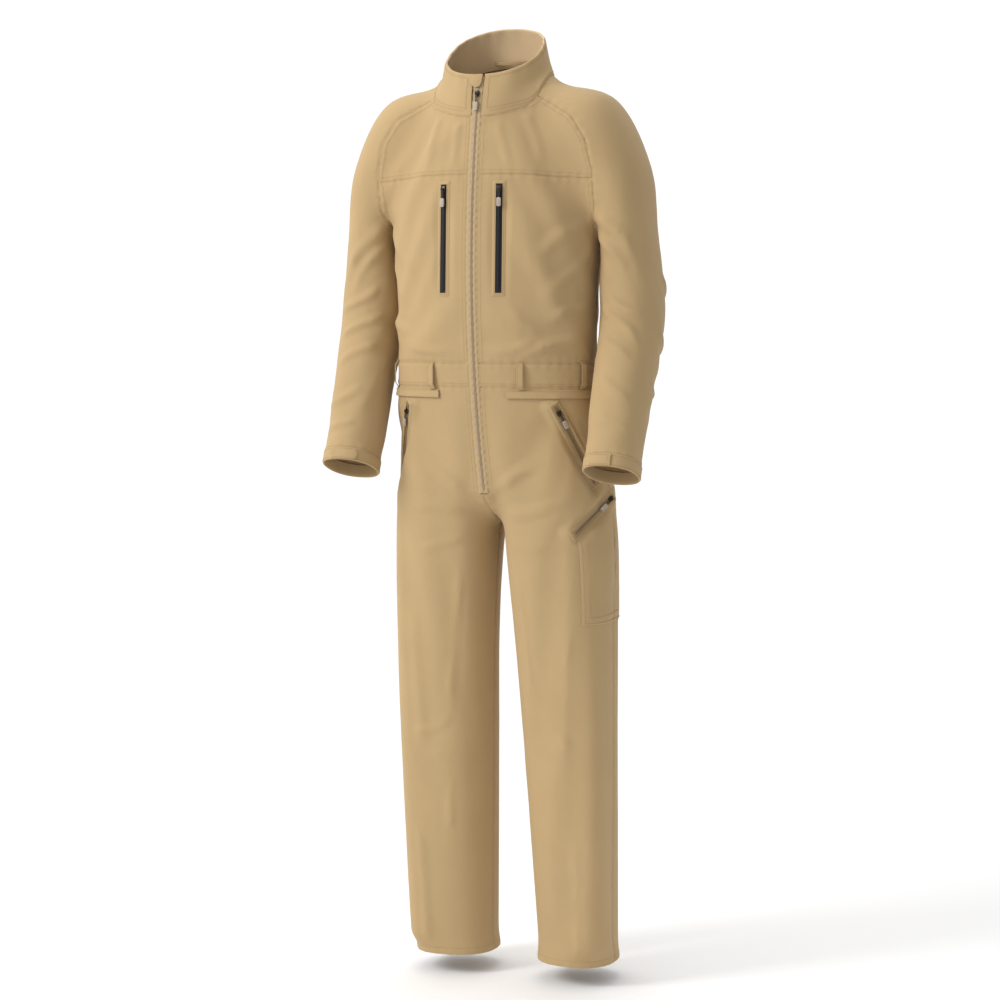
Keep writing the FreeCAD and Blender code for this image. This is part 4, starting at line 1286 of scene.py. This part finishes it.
def collar_row(t, offset):
    """Points round the collar at a height from 0 to 1, moved outward."""
    row = neck_ring + (rim_ring - neck_ring) * t
    row = row + gap * (1 - smooth(np.array(t) / 0.5))
    high = min(max(t, 0), 1)
    bow = 0.0022 * math.sin(math.pi * high)
    ripple = 0.0009 * np.sin(share * 41 + 1.0) * math.sin(math.pi * high * 0.85)
    fine = 0.0005 * np.sin(share * 118 + 2.0 * np.sin(share * 17))
    ripple = ripple + fine * smooth((t - 0.55) / 0.3)
    return row + out * (offset * MM + bow + ripple)[:, None]


def collar_layer(name, profile):
    """Layer of the collar through heights and offsets."""
    return grid(name, [collar_row(t, offset) for t, offset in profile])


collar_outer = collar_layer("collar_outer", [
    (-0.10, 0.2), (-0.07, 1.3), (-0.03, 1.6), (0.0, 1.5), (0.04, 1.2), (0.09, 1.0), (0.2, 0.9),
    (0.35, 0.8), (0.5, 0.8), (0.65, 0.8), (0.8, 0.9), (0.86, 1.1), (0.9, 1.3), (0.95, 1.5),
    (0.985, 1.3), (1.0, 0.5), (1.006, -0.5),
])
collar_lining = collar_layer("collar_lining", [
    (1.006, -0.5), (1.0, -1.6), (0.985, -2.3), (0.95, -2.5), (0.9, -2.3), (0.8, -1.9), (0.6, -1.7),
    (0.4, -1.7), (0.2, -1.8), (0.05, -1.9), (-0.05, -1.6), (-0.12, -1.2),
])
fit(collar_outer, cloth, node="collar_outer")
# The lining's colour carries painted light for the inside of the collar.
fit(collar_lining, lining_painted_light, node="collar_lining")
for t, offset in ((0.02, 1.55), (0.10, 1.15), (0.90, 1.45)):
    stitch_row("collar_outer", collar_row(t, offset)[3:-3], project=False)
for k in (3, AROUND - 4):
    path = [collar_row(t, 1.3)[k] for t in np.linspace(0.03, 0.97, 30)]
    stitch_row("collar_outer", path, project=False)


# ---------------------------------------------------------------- turned edges, cuffs and tabs

def turned_edge(name, line, body_piece, depth=0.009, thick=0.0012):
    """Cloth turned in behind a free edge."""
    place = smooth_line(cloth_co[line], 2)
    normal = cloth_normals[line]
    along = unit(np.gradient(place, axis=0))
    side = unit(np.cross(normal, along))
    middle = len(line) // 2
    inner = vertex_faces[line[middle]][0]
    if np.dot(np.array(suit.data.polygons[inner].center) - place[middle], side[middle]) < 0:
        side = -side
    profile = ((0.0022, -0.00005), (0.0006, -0.0001), (-0.0004, 0.0003), (-0.0005, 0.0008),
               (0.0004, thick), (depth * 0.5, thick), (depth, thick))
    rows = [place + side * in_by - normal * down for in_by, down in profile]
    obj = finish_with(grid(name, rows), cloth)
    join_to_body(obj, body_piece)
    return obj


for (a, b), lines in chains.items():
    if a != -1 or name_of(b).startswith("sleeve") or name_of(b) == "back_yoke":
        continue
    for k, line in enumerate(sorted(lines, key=lambda l: cloth_co[l][:, 2].mean())):
        if len(line) > 8 and neck_line(cloth_co[line]).mean() < -0.01:
            turned_edge(f"turned_edge_{PIECES[b]}_{k}", line, PIECES[b])


def cuff_ring(side, along_by, offset, count=88):
    """Ring round a cuff at a distance beyond the wrist seam, moved outward."""
    centre, along, outward, back = sleeve_axes(WRIST)
    across, deep = outward * (WRIST[6] + offset), back * (WRIST[7] + offset)
    return ring(centre + along * along_by, across, deep, count) * MM * (side, 1, 1)


# Cuff band: distance beyond the wrist seam and outward offset, in mm.
CUFF_PROFILE = [
    (-1.5, -0.4), (-1.3, 1.0), (0.5, 1.7), (4, 1.8), (10, 1.7), (16, 1.8), (19, 1.6),
    (20.2, 0.6), (20.4, -0.4), (19.6, -1.2), (16, -1.5), (8, -1.5), (0, -1.6),
]
CUFF_POINTS = 720
TAB_LENGTH = 46
TAB_SEAM = 0.0075
TAB_FACE = 0.00095

for name, side in SIDES:
    rings = [cuff_ring(side, a, o) for a, o in CUFF_PROFILE]
    fit(grid(f"cuff_band_{name}", rings, closed=True), cloth,
        f"forearm_{name}", f"cuff_band_{name}")
    for at in (2.2, 17.8):
        path = np.roll(cuff_ring(side, at, 1.75, 200), 50, axis=0)
        stitch_row(f"cuff_band_{name}", path, project=False)
    face_front = cuff_ring(side, 10, 3.0, CUFF_POINTS)
    front = int(np.argmin(face_front[:, 1]))
    path = face_front[[(front + k) % CUFF_POINTS for k in range(-160, 170)]]
    if (path[-1, 0] - path[0, 0]) * side > 0:
        path = path[::-1]
    start = int(np.argmin(np.abs(np.linspace(0, 1, len(path)) - 0.42)))
    run = distances(path[start:])[1:]
    path = resample(path[start:start + int(np.searchsorted(run, TAB_LENGTH * MM))], 40)
    middle = cuff_ring(side, 10, 0).mean(axis=0)
    across = np.tile(np.array(sleeve_axes(WRIST)[1]) * (side, 1, 1), (len(path), 1))
    up = unit(np.cross(np.gradient(path, axis=0), across))
    up = np.where(((up * (path - middle)).sum(axis=1) > 0)[:, None], up, -up)
    run = np.linspace(0, TAB_LENGTH, len(path))
    ends = np.where(run > 36.5, np.sqrt(np.clip(1 - ((run - 36.5) / 9.6) ** 2, 0.0004, 1)), 1.0)
    path = path + up * 0.0006 * smooth((run - 30) / 16)[:, None]
    fit(strap(f"cuff_tab_{name}", path, across, up, 0.0185, 0.0017, ends), cloth,
        f"cuff_tab_{name}", f"cuff_tab_{name}")
    face = path + up * TAB_FACE
    for v in (-TAB_SEAM, TAB_SEAM):
        stitch_row(f"tab_{name}", (face + across * v * ends[:, None])[1:34], project=False)
    for k in (1, 5):
        row = [face[k] + across[k] * v for v in np.linspace(-TAB_SEAM, TAB_SEAM, 12)]
        stitch_row(f"tab_{name}", row, project=False)


# ---------------------------------------------------------------- zips

def on_arc(x, z, lift):
    """Point over the front zip's arc, in metres: lift is away from the body."""
    turn = math.asin((FRONT_Z - z) / FRONT_RADIUS)
    return np.array((x, front_y(z) - math.cos(turn) * lift, z - math.sin(turn) * lift))


TOOTH_FACES = [(0, 1, 5, 4), (1, 2, 6, 5), (2, 3, 7, 6), (3, 0, 4, 7), (4, 5, 6, 7)]
PIN_HEIGHT = 5.8


def coil_parts(length, start, pitch=1.5, top=2.3):
    """Teeth of a closed coil along local +X, in mm."""
    parts = []
    for k in range(int((length - 2 * start) / pitch)):
        x = start + k * pitch
        for side, shift in ((1, 0.0), (-1, pitch / 2)):
            low = [(x + shift - .42, side * 0.1), (x + shift + .42, side * 0.1),
                   (x + shift + .36, side * 2.25), (x + shift - .36, side * 2.25)]
            high = [(px, py, top) if abs(py) < 1 else (px, py * .95, top - .35) for px, py in low]
            parts.append((np.array([(px, py, 0.8) for px, py in low] + high), TOOTH_FACES))
    return parts


def slider_parts():
    """Slider: its upper plate with skirts, cheeks and pin, in mm."""
    plate = [(-5, -2.6), (-4.2, -3.6), (-1.5, -4.2), (3.2, -3.4), (4.6, -2.6), (5, -1.5),
             (5, 1.5), (4.6, 2.6), (3.2, 3.4), (-1.5, 4.2), (-4.2, 3.6), (-5, 2.6)]
    parts = [block(plate, 2.6, 3.8, 0.35)]
    for side in (-1, 1):
        skirt = [(-4.4, 2.7), (4.2, 2.7), (3.2, 3.4), (-1.5, 4.15), (-4.2, 3.6)]
        cheek = [(-1.9, 1.6), (1.9, 1.6), (1.9, 2.4), (-1.9, 2.4)]
        for shape, low, high, bevel in ((skirt, 1.2, 2.9, 0.15), (cheek, 3.6, 6.9, 0.3)):
            parts.append(block([(x, side * y) for x, y in shape[::side]], low, high, bevel))
    parts.append(rod((0, -2.4, PIN_HEIGHT), (0, 2.4, PIN_HEIGHT), 0.7))
    return parts


def pull_objects(base, frame_matrix):
    """Zip pull: metal eye, a doubled cord and a moulded end, hung on the slider's pin."""
    pin = frame_matrix @ Matrix.Translation((0, 0, PIN_HEIGHT * MM))
    eye = merged(f"{base}_eye", [torus((0.2, 0, 0), 1.35, 0.42, stretch=1.25)], pin)
    finish_with(eye, metal)
    strands = []
    for side in (-1, 1):
        for k in range(8):
            x0, x1 = 1.2 + k * 1.7, 1.2 + (k + 1) * 1.7
            bend = lambda x: side * (0.35 + 0.75 * math.sin(min(1, x / 14) * math.pi) ** 0.8)
            strands.append(rod((x0, bend(x0), -0.2), (x1, bend(x1), -0.2), 0.62, 8))
    strands.append(torus((1.4, 0, -0.1), 0.75, 0.6, (1, 0, 0), (0, 1, 0)))
    cord = finish_with(merged(f"{base}_cord", strands, pin), cord_dark)
    end = [block(round_outline(14, 7, 2.2, centre=(21, 0)), -1.4, 1.4, 0.6)]
    for x in (17.5, 19.5, 21.5, 23.5):
        end.append(block(round_outline(0.8, 4.6, 0.35, 2, (x, 0)), 1.2, 1.6, 0.12))
    moulded = finish_with(merged(f"{base}_end", end, pin), pull_end)
    return eye, cord, moulded


def park_slider(name, frame_matrix, distance):
    """Slider and pull of a zip at their closed place."""
    at = frame_matrix @ Matrix.Translation((distance * MM, 0, 0))
    fit(merged(f"{name}_slider", slider_parts(), at), metal,
        f"{name}_slider", f"{name}_slider")
    for obj in pull_objects(name + "_pull", at):
        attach(obj, f"{name}_pull")
        if obj.name.endswith("_end_shape"):
            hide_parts(f"{name}_pull")


def straight_zip(name, frame_matrix, length, tape_material, coil_material):
    """Pocket zip: woven tape and two rows of teeth."""
    xs = np.linspace(0, length, 60)
    half = [(-5.7, .2), (-5.5, .8), (-3.2, 1.0), (-2.5, .8), (0, .6)]
    profile = half + [(-y, z) for y, z in half[-2::-1]]
    rows = [placed(frame_matrix, [(x, y, z) for x in xs]) for y, z in profile]
    fit(grid(f"{name}_tape", rows), tape_material, node=name)
    teeth = coil_parts(length, 3.0)
    fit(merged(f"{name}_teeth", teeth, frame_matrix, flat=True), coil_material)


for name, matrix in frames.items():
    length, closed_at, tape_material, coil_material, slot_name = ZIPS[name[:5]]
    straight_zip(name, matrix, length, tape_material, coil_material)
    park_slider(name, matrix, closed_at)

levels = np.linspace(0.012, -0.652, 260)
for name, side in SIDES:
    rows = []
    profile = ((8.6, .2), (8.2, .8), (5.5, .9), (3.2, 1.0), (2.4, .9), (0.15, .8))
    for k, (x, lift) in enumerate(profile):
        ripple = 0.0005 * np.sin(np.arange(len(levels)) * 1.3 + side) * (0 < k < 4)
        rows.append([on_arc(side * x * MM, z, lift * MM + r) for z, r in zip(levels, ripple)])
    fit(grid(f"front_zip_tape_{name}", rows), front_tape,
        node="front_zip_tapes" if side > 0 else None)
teeth_points, teeth_faces = [], []
z = 0.009
while z > -0.646:
    for side in (-1, 1):
        level = z - (0.0008 if side > 0 else 0)
        start = len(teeth_points)
        profile = ((0.0001, 0.0008), (0.00225, 0.0008), (0.0021, 0.00195), (0.0001, 0.0023))
        for dz in (-0.00042, 0.00042):
            teeth_points += [on_arc(side * x, level + dz, lift) for x, lift in profile]
        teeth_faces += [tuple(start + i for i in f) for f in
                        ((0, 1, 2, 3), (7, 6, 5, 4), (1, 5, 6, 2), (2, 6, 7, 3), (3, 7, 4, 0))]
    z -= 0.0016
fit(new_object("front_zip_coil", teeth_points, teeth_faces), front_coil,
    node="front_zip_coil")
SLIDER_Z = -0.016
turn = math.asin((FRONT_Z - SLIDER_Z) / FRONT_RADIUS)
start = Vector((0, front_y(SLIDER_Z), SLIDER_Z))
front_matrix = frame_along(start, start + Vector((0, math.sin(turn), -math.cos(turn))),
                           (0, -math.cos(turn), -math.sin(turn)))
park_slider("front_zip", front_matrix, 0.0)
FLAP_HALF = 21
flap_levels = np.linspace(0.0, -0.639, 80)
fit(grid("wind_flap", [
    [on_arc(x * MM, z, -0.0072 - 0.0006 * math.cos(x / FLAP_HALF * 1.5)) for z in flap_levels]
    for x in np.linspace(-FLAP_HALF, FLAP_HALF, 9)
]), inner_cloth, node="wind_flap")


# ---------------------------------------------------------------- waist, pockets and small pieces

INSIDE_Y = 0.01


def around_waist(z, start, end, lift, count=150):
    """Points on the outside of the cloth at a level, between two angles from the front."""
    made = []
    for k in range(count):
        a = start + (end - start) * k / (count - 1)
        way = Vector((math.sin(a), -math.cos(a), 0))
        hit = cloth_tree.ray_cast(Vector((0, INSIDE_Y, z)), way)[0]
        made.append(np.array(hit) + np.array(way) * lift)
    return np.array(made)


# Flap over the seat zip, between two angles from the front: level and lift of its section.
FLAP_ENDS = 0.43, 2 * math.pi - 0.52
FLAP_PROFILE = [
    (-0.4835, .0004), (-0.4842, .0020), (-0.486, .0030), (-0.490, .0032), (-0.494, .0040),
    (-0.4962, .0042), (-0.4972, .0036), (-0.4970, .0026), (-0.4945, .0018), (-0.490, .0010),
]
rows = [around_waist(z, *FLAP_ENDS, lift) for z, lift in FLAP_PROFILE]
fit(grid("seat_zip_flap", rows), cloth, node="seat_zip_flap")
stitch_row("seat_zip_flap", around_waist(-0.4858, *FLAP_ENDS, 0.0030, 400), project=False)
rows = [around_waist(z, *FLAP_ENDS, -0.0022) for z in (-0.487, -0.4935)]
fit(grid("seat_zip", rows), inner_cloth, node="seat_zip")

# Belt loops: x in mm and the way that each faces.
LOOPS = ((-76, -1), (76, -1), (-160, -1), (160, -1), (-70, 1), (70, 1))
for number, (x, way) in enumerate(LOOPS):
    middle_z = (BAND_TOP + BAND_BOTTOM) / 2
    hit = cloth_tree.ray_cast(Vector((x * MM, INSIDE_Y, middle_z)), Vector((0, way, 0)))
    base, normal = np.array(hit[0]), unit(np.array(hit[1]) * (1, 1, 0))
    down = np.array((0, 0, -1.0))
    side = unit(np.cross(normal, down))
    run = np.linspace(-1, 1, 25)
    stand = [0.0012 + 0.0042 * (1 - smooth((abs(t) - 0.62) / 0.3)) for t in run]
    path = [base + down * 0.0226 * t + normal * off for t, off in zip(run, stand)]
    loop = strap(f"belt_loop_{number}", path, [side] * 25, [normal] * 25, 0.011, 0.0014)
    fit(loop, cloth, node=None if number else "belt_loops")
    face = normal * 0.0008
    for t in (1, 2, 22, 23):
        row = [path[t] + side * v + face for v in np.linspace(-.0045, .0045, 8)]
        stitch_row("belt_loops", row, project=False)
    for v in (-.0042, .0042):
        stitch_row("belt_loops", [q + side * v + face for q in path], project=False)


def outline_patch(corners_yz, steps=36):
    """Rows of a patch pocket on the outside of the left thigh, from its corners in y and z."""
    front_top, back_top, back_bottom, front_bottom = np.array(corners_yz) * MM
    rows = []
    for i in range(steps):
        v = i / (steps - 1)
        row = []
        for k in range(steps):
            u = k / (steps - 1)
            top = front_top * (1 - u) + back_top * u
            bottom = front_bottom * (1 - u) + back_bottom * u
            y, z = top * (1 - v) + bottom * v
            edge = min(u, 1 - u, v, 1 - v) * 0.14
            hit = cloth_tree.ray_cast(Vector((0.26, y, z)), Vector((-1, 0, 0)))
            lift = 0.0006 + 0.0016 * float(smooth(np.array(edge / 0.006)))
            lift += 0.0035 * math.sin(math.pi * u) * math.sin(math.pi * min(1, v * 1.15)) ** 2
            row.append(np.array(hit[0]) + np.array(hit[1]) * lift)
        rows.append(row)
    return np.array(rows)


patch_rows = outline_patch([(-47, -723), (64, -636), (64, -864), (-40, -864)])
fit(grid("thigh_pocket", patch_rows), cloth, node="thigh_pocket")
for inset in (1, 3):
    inner = patch_rows[inset:-inset, inset:-inset]
    edge = np.concatenate([inner[:, 0], inner[-1], inner[::-1, -1]])
    stitch_row("thigh_pocket", edge, lift=0.003)


def oblong(x0, x1, half, long_steps, short_steps):
    """Closed oblong outline round a zip, in mm."""
    a = np.arange(long_steps) / long_steps
    b = np.arange(short_steps) / short_steps
    return [(x, -half) for x in x0 + (x1 - x0) * a] + [(x1, y) for y in -half + 2 * half * b] + \
        [(x, half) for x in x1 - (x1 - x0) * a] + [(x0, y) for y in half - 2 * half * b]


# Welt round each pocket zip: half width in mm, lift in metres and share of the zip's own level.
WELT = ((5.4, 0.0012, 0.75), (5.8, 0.0017, 0.5), (7.6, 0.0016, 0), (9.6, 0.0010, 0), (11.0, 0.0002, 0))
WELT_SEAM, WELT_END = 7.2, 2
for name, matrix in frames.items():
    length = ZIPS[name[:5]][0]
    rows = []
    for half, lift, mix in WELT:
        beyond = half - WELT[0][0]
        outline = oblong(-beyond, length + beyond, half, 60, 8)
        landed, _ = land_all(placed(matrix, [(x, y, 0) for x, y in outline]), lift)
        level = placed(matrix, [(x, y, 1.6) for x, y in outline])
        rows.append(landed * (1 - mix) + level * mix)
    fit(grid(f"{name}_welt", rows, closed=True), cloth)
    x0, x1 = -WELT_END, length + WELT_END
    outline = [(x, -WELT_SEAM) for x in np.linspace(x0, x1, 81)]
    outline += [(x1, y) for y in np.linspace(-WELT_SEAM, WELT_SEAM, 9)[1:-1]]
    outline += [(x, WELT_SEAM) for x in np.linspace(x1, x0, 81)]
    seam, _ = land_all(placed(matrix, [(x, y, 0) for x, y in outline]), 0.0018)
    stitch_row(f"{name}_welt", seam, project=False)

# Rolled lip behind each hand pocket zip: narrow at both ends.
LIP_PLACE, LIP_WIDTH, LIP_THICK = 7.4, 5.4, 2.2
for name, side in SIDES:
    matrix = frames[f"hand_zip_{name}"]
    axes = np.array(matrix)[:3, :3]
    rear = 1 if axes[1, 1] > 0 else -1
    t = np.linspace(0.01, 0.99, 60)
    path = np.stack([t * 152 + 2, np.full(60, rear * LIP_PLACE), 1.6 + 0.8 * np.sin(t * math.pi)], 1)
    lip = strap(f"hand_zip_{name}_lip", placed(matrix, path), [axes[:, 1]] * 60, [axes[:, 2]] * 60,
                LIP_WIDTH * MM, LIP_THICK * MM, np.sin(t * math.pi) ** 0.6)
    fit(lip, cloth)

tongue_matrix = frame_along(on_arc(0, 0.015, 0), on_arc(0, -0.007, 0), (0, -1, 0.2))
outline = [(0, -19), (0, 8), (14, 6.4), (19, 4.4), (21.4, 1.0), (21.9, -2), (21.4, -5),
           (19, -8.4), (14, -13.6)]
garage = merged("zip_garage", [block(outline, 3.6, 5.2, 0.5)], tongue_matrix)
fit(garage, cloth, node="zip_garage")

low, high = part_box("hanger_loop")
t = np.linspace(-1, 1, 41)
hang_path = np.stack([t * 0.031, low.y + 0.0008 + (high.y - low.y - 0.0016) * np.abs(t) ** 2.2,
                      np.full(41, (low.z + high.z) / 2) - 0.002 * (1 - t * t)], axis=1)
hanger = strap("hanger_loop", hang_path, np.tile((0, 0, 1.0), (41, 1)),
               unit(np.cross(np.gradient(hang_path, axis=0), (0, 0, 1.0))), 0.0058, 0.0012)
fit(hanger, inner_cloth, node="hanger_loop")

# Pocket bags, by the start of their zips' names: depth, half width, first and last x, in mm.
BAGS = {"chest": (6.0, 22.5, -5, 187), "hand_": (16.0, 21.5, 4.5, 151)}
for node, names in (("chest_pocket_bags", ("chest_zip_right", "chest_zip_left")),
                    ("hand_pocket_bags", ("hand_zip_right", "hand_zip_left"))):
    for k, name in enumerate(names):
        depth, half, first, last = BAGS[name[:5]]
        rows = []
        for y in np.linspace(-half, half, 12):
            rows.append(placed(frames[name], [
                (x, y, -depth - 0.5 * math.sin(x / 17) * math.cos(y / 14))
                for x in np.linspace(first, last, 40)
            ]))
        bag = grid(f"{node[:-1]}_{name[-5:].strip('_')}", rows)
        fit(bag, inner_cloth, node=None if k else node)

BODY_OF_STITCHES = {"cuff_band_right": "forearm_right", "cuff_band_left": "forearm_left",
                    "tab_right": "cuff_tab_right", "tab_left": "cuff_tab_left"}
for piece, (points, faces) in stitches.items():
    obj = new_object(f"stitches_{piece}", points, faces)
    finish_with(obj, thread)
    if piece in PIECES:
        join_to_body(obj, piece)
    else:
        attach(obj, BODY_OF_STITCHES.get(piece, "torso"))
bpy.data.objects.remove(suit)

for piece, obj in panels.items():
    declare_panel(piece)


# ---------------------------------------------------------------- studio

def area_light(name, place, target, size_m, power):
    """Soft box that faces a point."""
    data = bpy.data.lights.new(name, "AREA")
    data.shape = "RECTANGLE"
    data.size, data.size_y = size_m
    data.energy = power
    obj = bpy.data.objects.new(name, data)
    bpy.context.scene.collection.objects.link(obj)
    obj.location = place
    obj.rotation_euler = (Vector(place) - Vector(target)).to_track_quat("Z", "Y").to_euler()


FLOOR_RADIUS, FLOOR_Z = 1.5, -1.475
turns = np.linspace(0, 2 * math.pi, 96, endpoint=False)
rim = [(FLOOR_RADIUS * math.cos(a), FLOOR_RADIUS * math.sin(a), FLOOR_Z) for a in turns]
floor = new_object("floor", rim, [tuple(range(len(rim)))])
floor.data.materials.append(plain("paper", (0.97, 0.97, 0.97), 0.9))
world = bpy.data.worlds.new("studio")
world.use_nodes = True
sky = world.node_tree
way = sky.nodes.new("ShaderNodeTexCoord")
toward = sky.nodes.new("ShaderNodeVectorMath")
toward.operation = "DOT_PRODUCT"
toward.inputs[1].default_value = (-0.94, 0.27, 0.20)
level = set_inputs(sky.nodes.new("ShaderNodeMapRange"),
                   From_Min=-0.55, From_Max=0.30, To_Min=0.56, To_Max=1.05)
sky.links.new(way.outputs["Generated"], toward.inputs[0])
sky.links.new(toward.outputs["Value"], level.inputs["Value"])
sky.links.new(level.outputs["Result"], sky.nodes["Background"].inputs["Strength"])
sky.nodes["Background"].inputs["Color"].default_value = (1, 1, 1, 1)
bpy.context.scene.world = world
bpy.context.scene.view_settings.view_transform = "Standard"
middle = (0, 0, -0.65)
area_light("key", (-2.1, -2.3, 1.2), middle, (1.0, 1.6), 63)
area_light("fill", (2.6, -2.6, 0.2), middle, (1.6, 2.2), 4)
area_light("top", (-0.2, 0.3, 2.2), middle, (1.4, 1.2), 16)

AZIMUTH, PITCH, DISTANCE = math.radians(22.0), math.radians(4.6), 4.10
TARGET = Vector((0, 0, -0.668))
level_reach = math.cos(PITCH)
away = Vector((math.sin(AZIMUTH) * level_reach, -math.cos(AZIMUTH) * level_reach, math.sin(PITCH)))
camera = bpy.data.objects.new("camera", bpy.data.cameras.new("camera"))
bpy.context.scene.collection.objects.link(camera)
camera.data.lens = 90.0
camera.location = TARGET + away * DISTANCE
camera.rotation_euler = away.to_track_quat("Z", "Y").to_euler()
bpy.context.scene.camera = camera
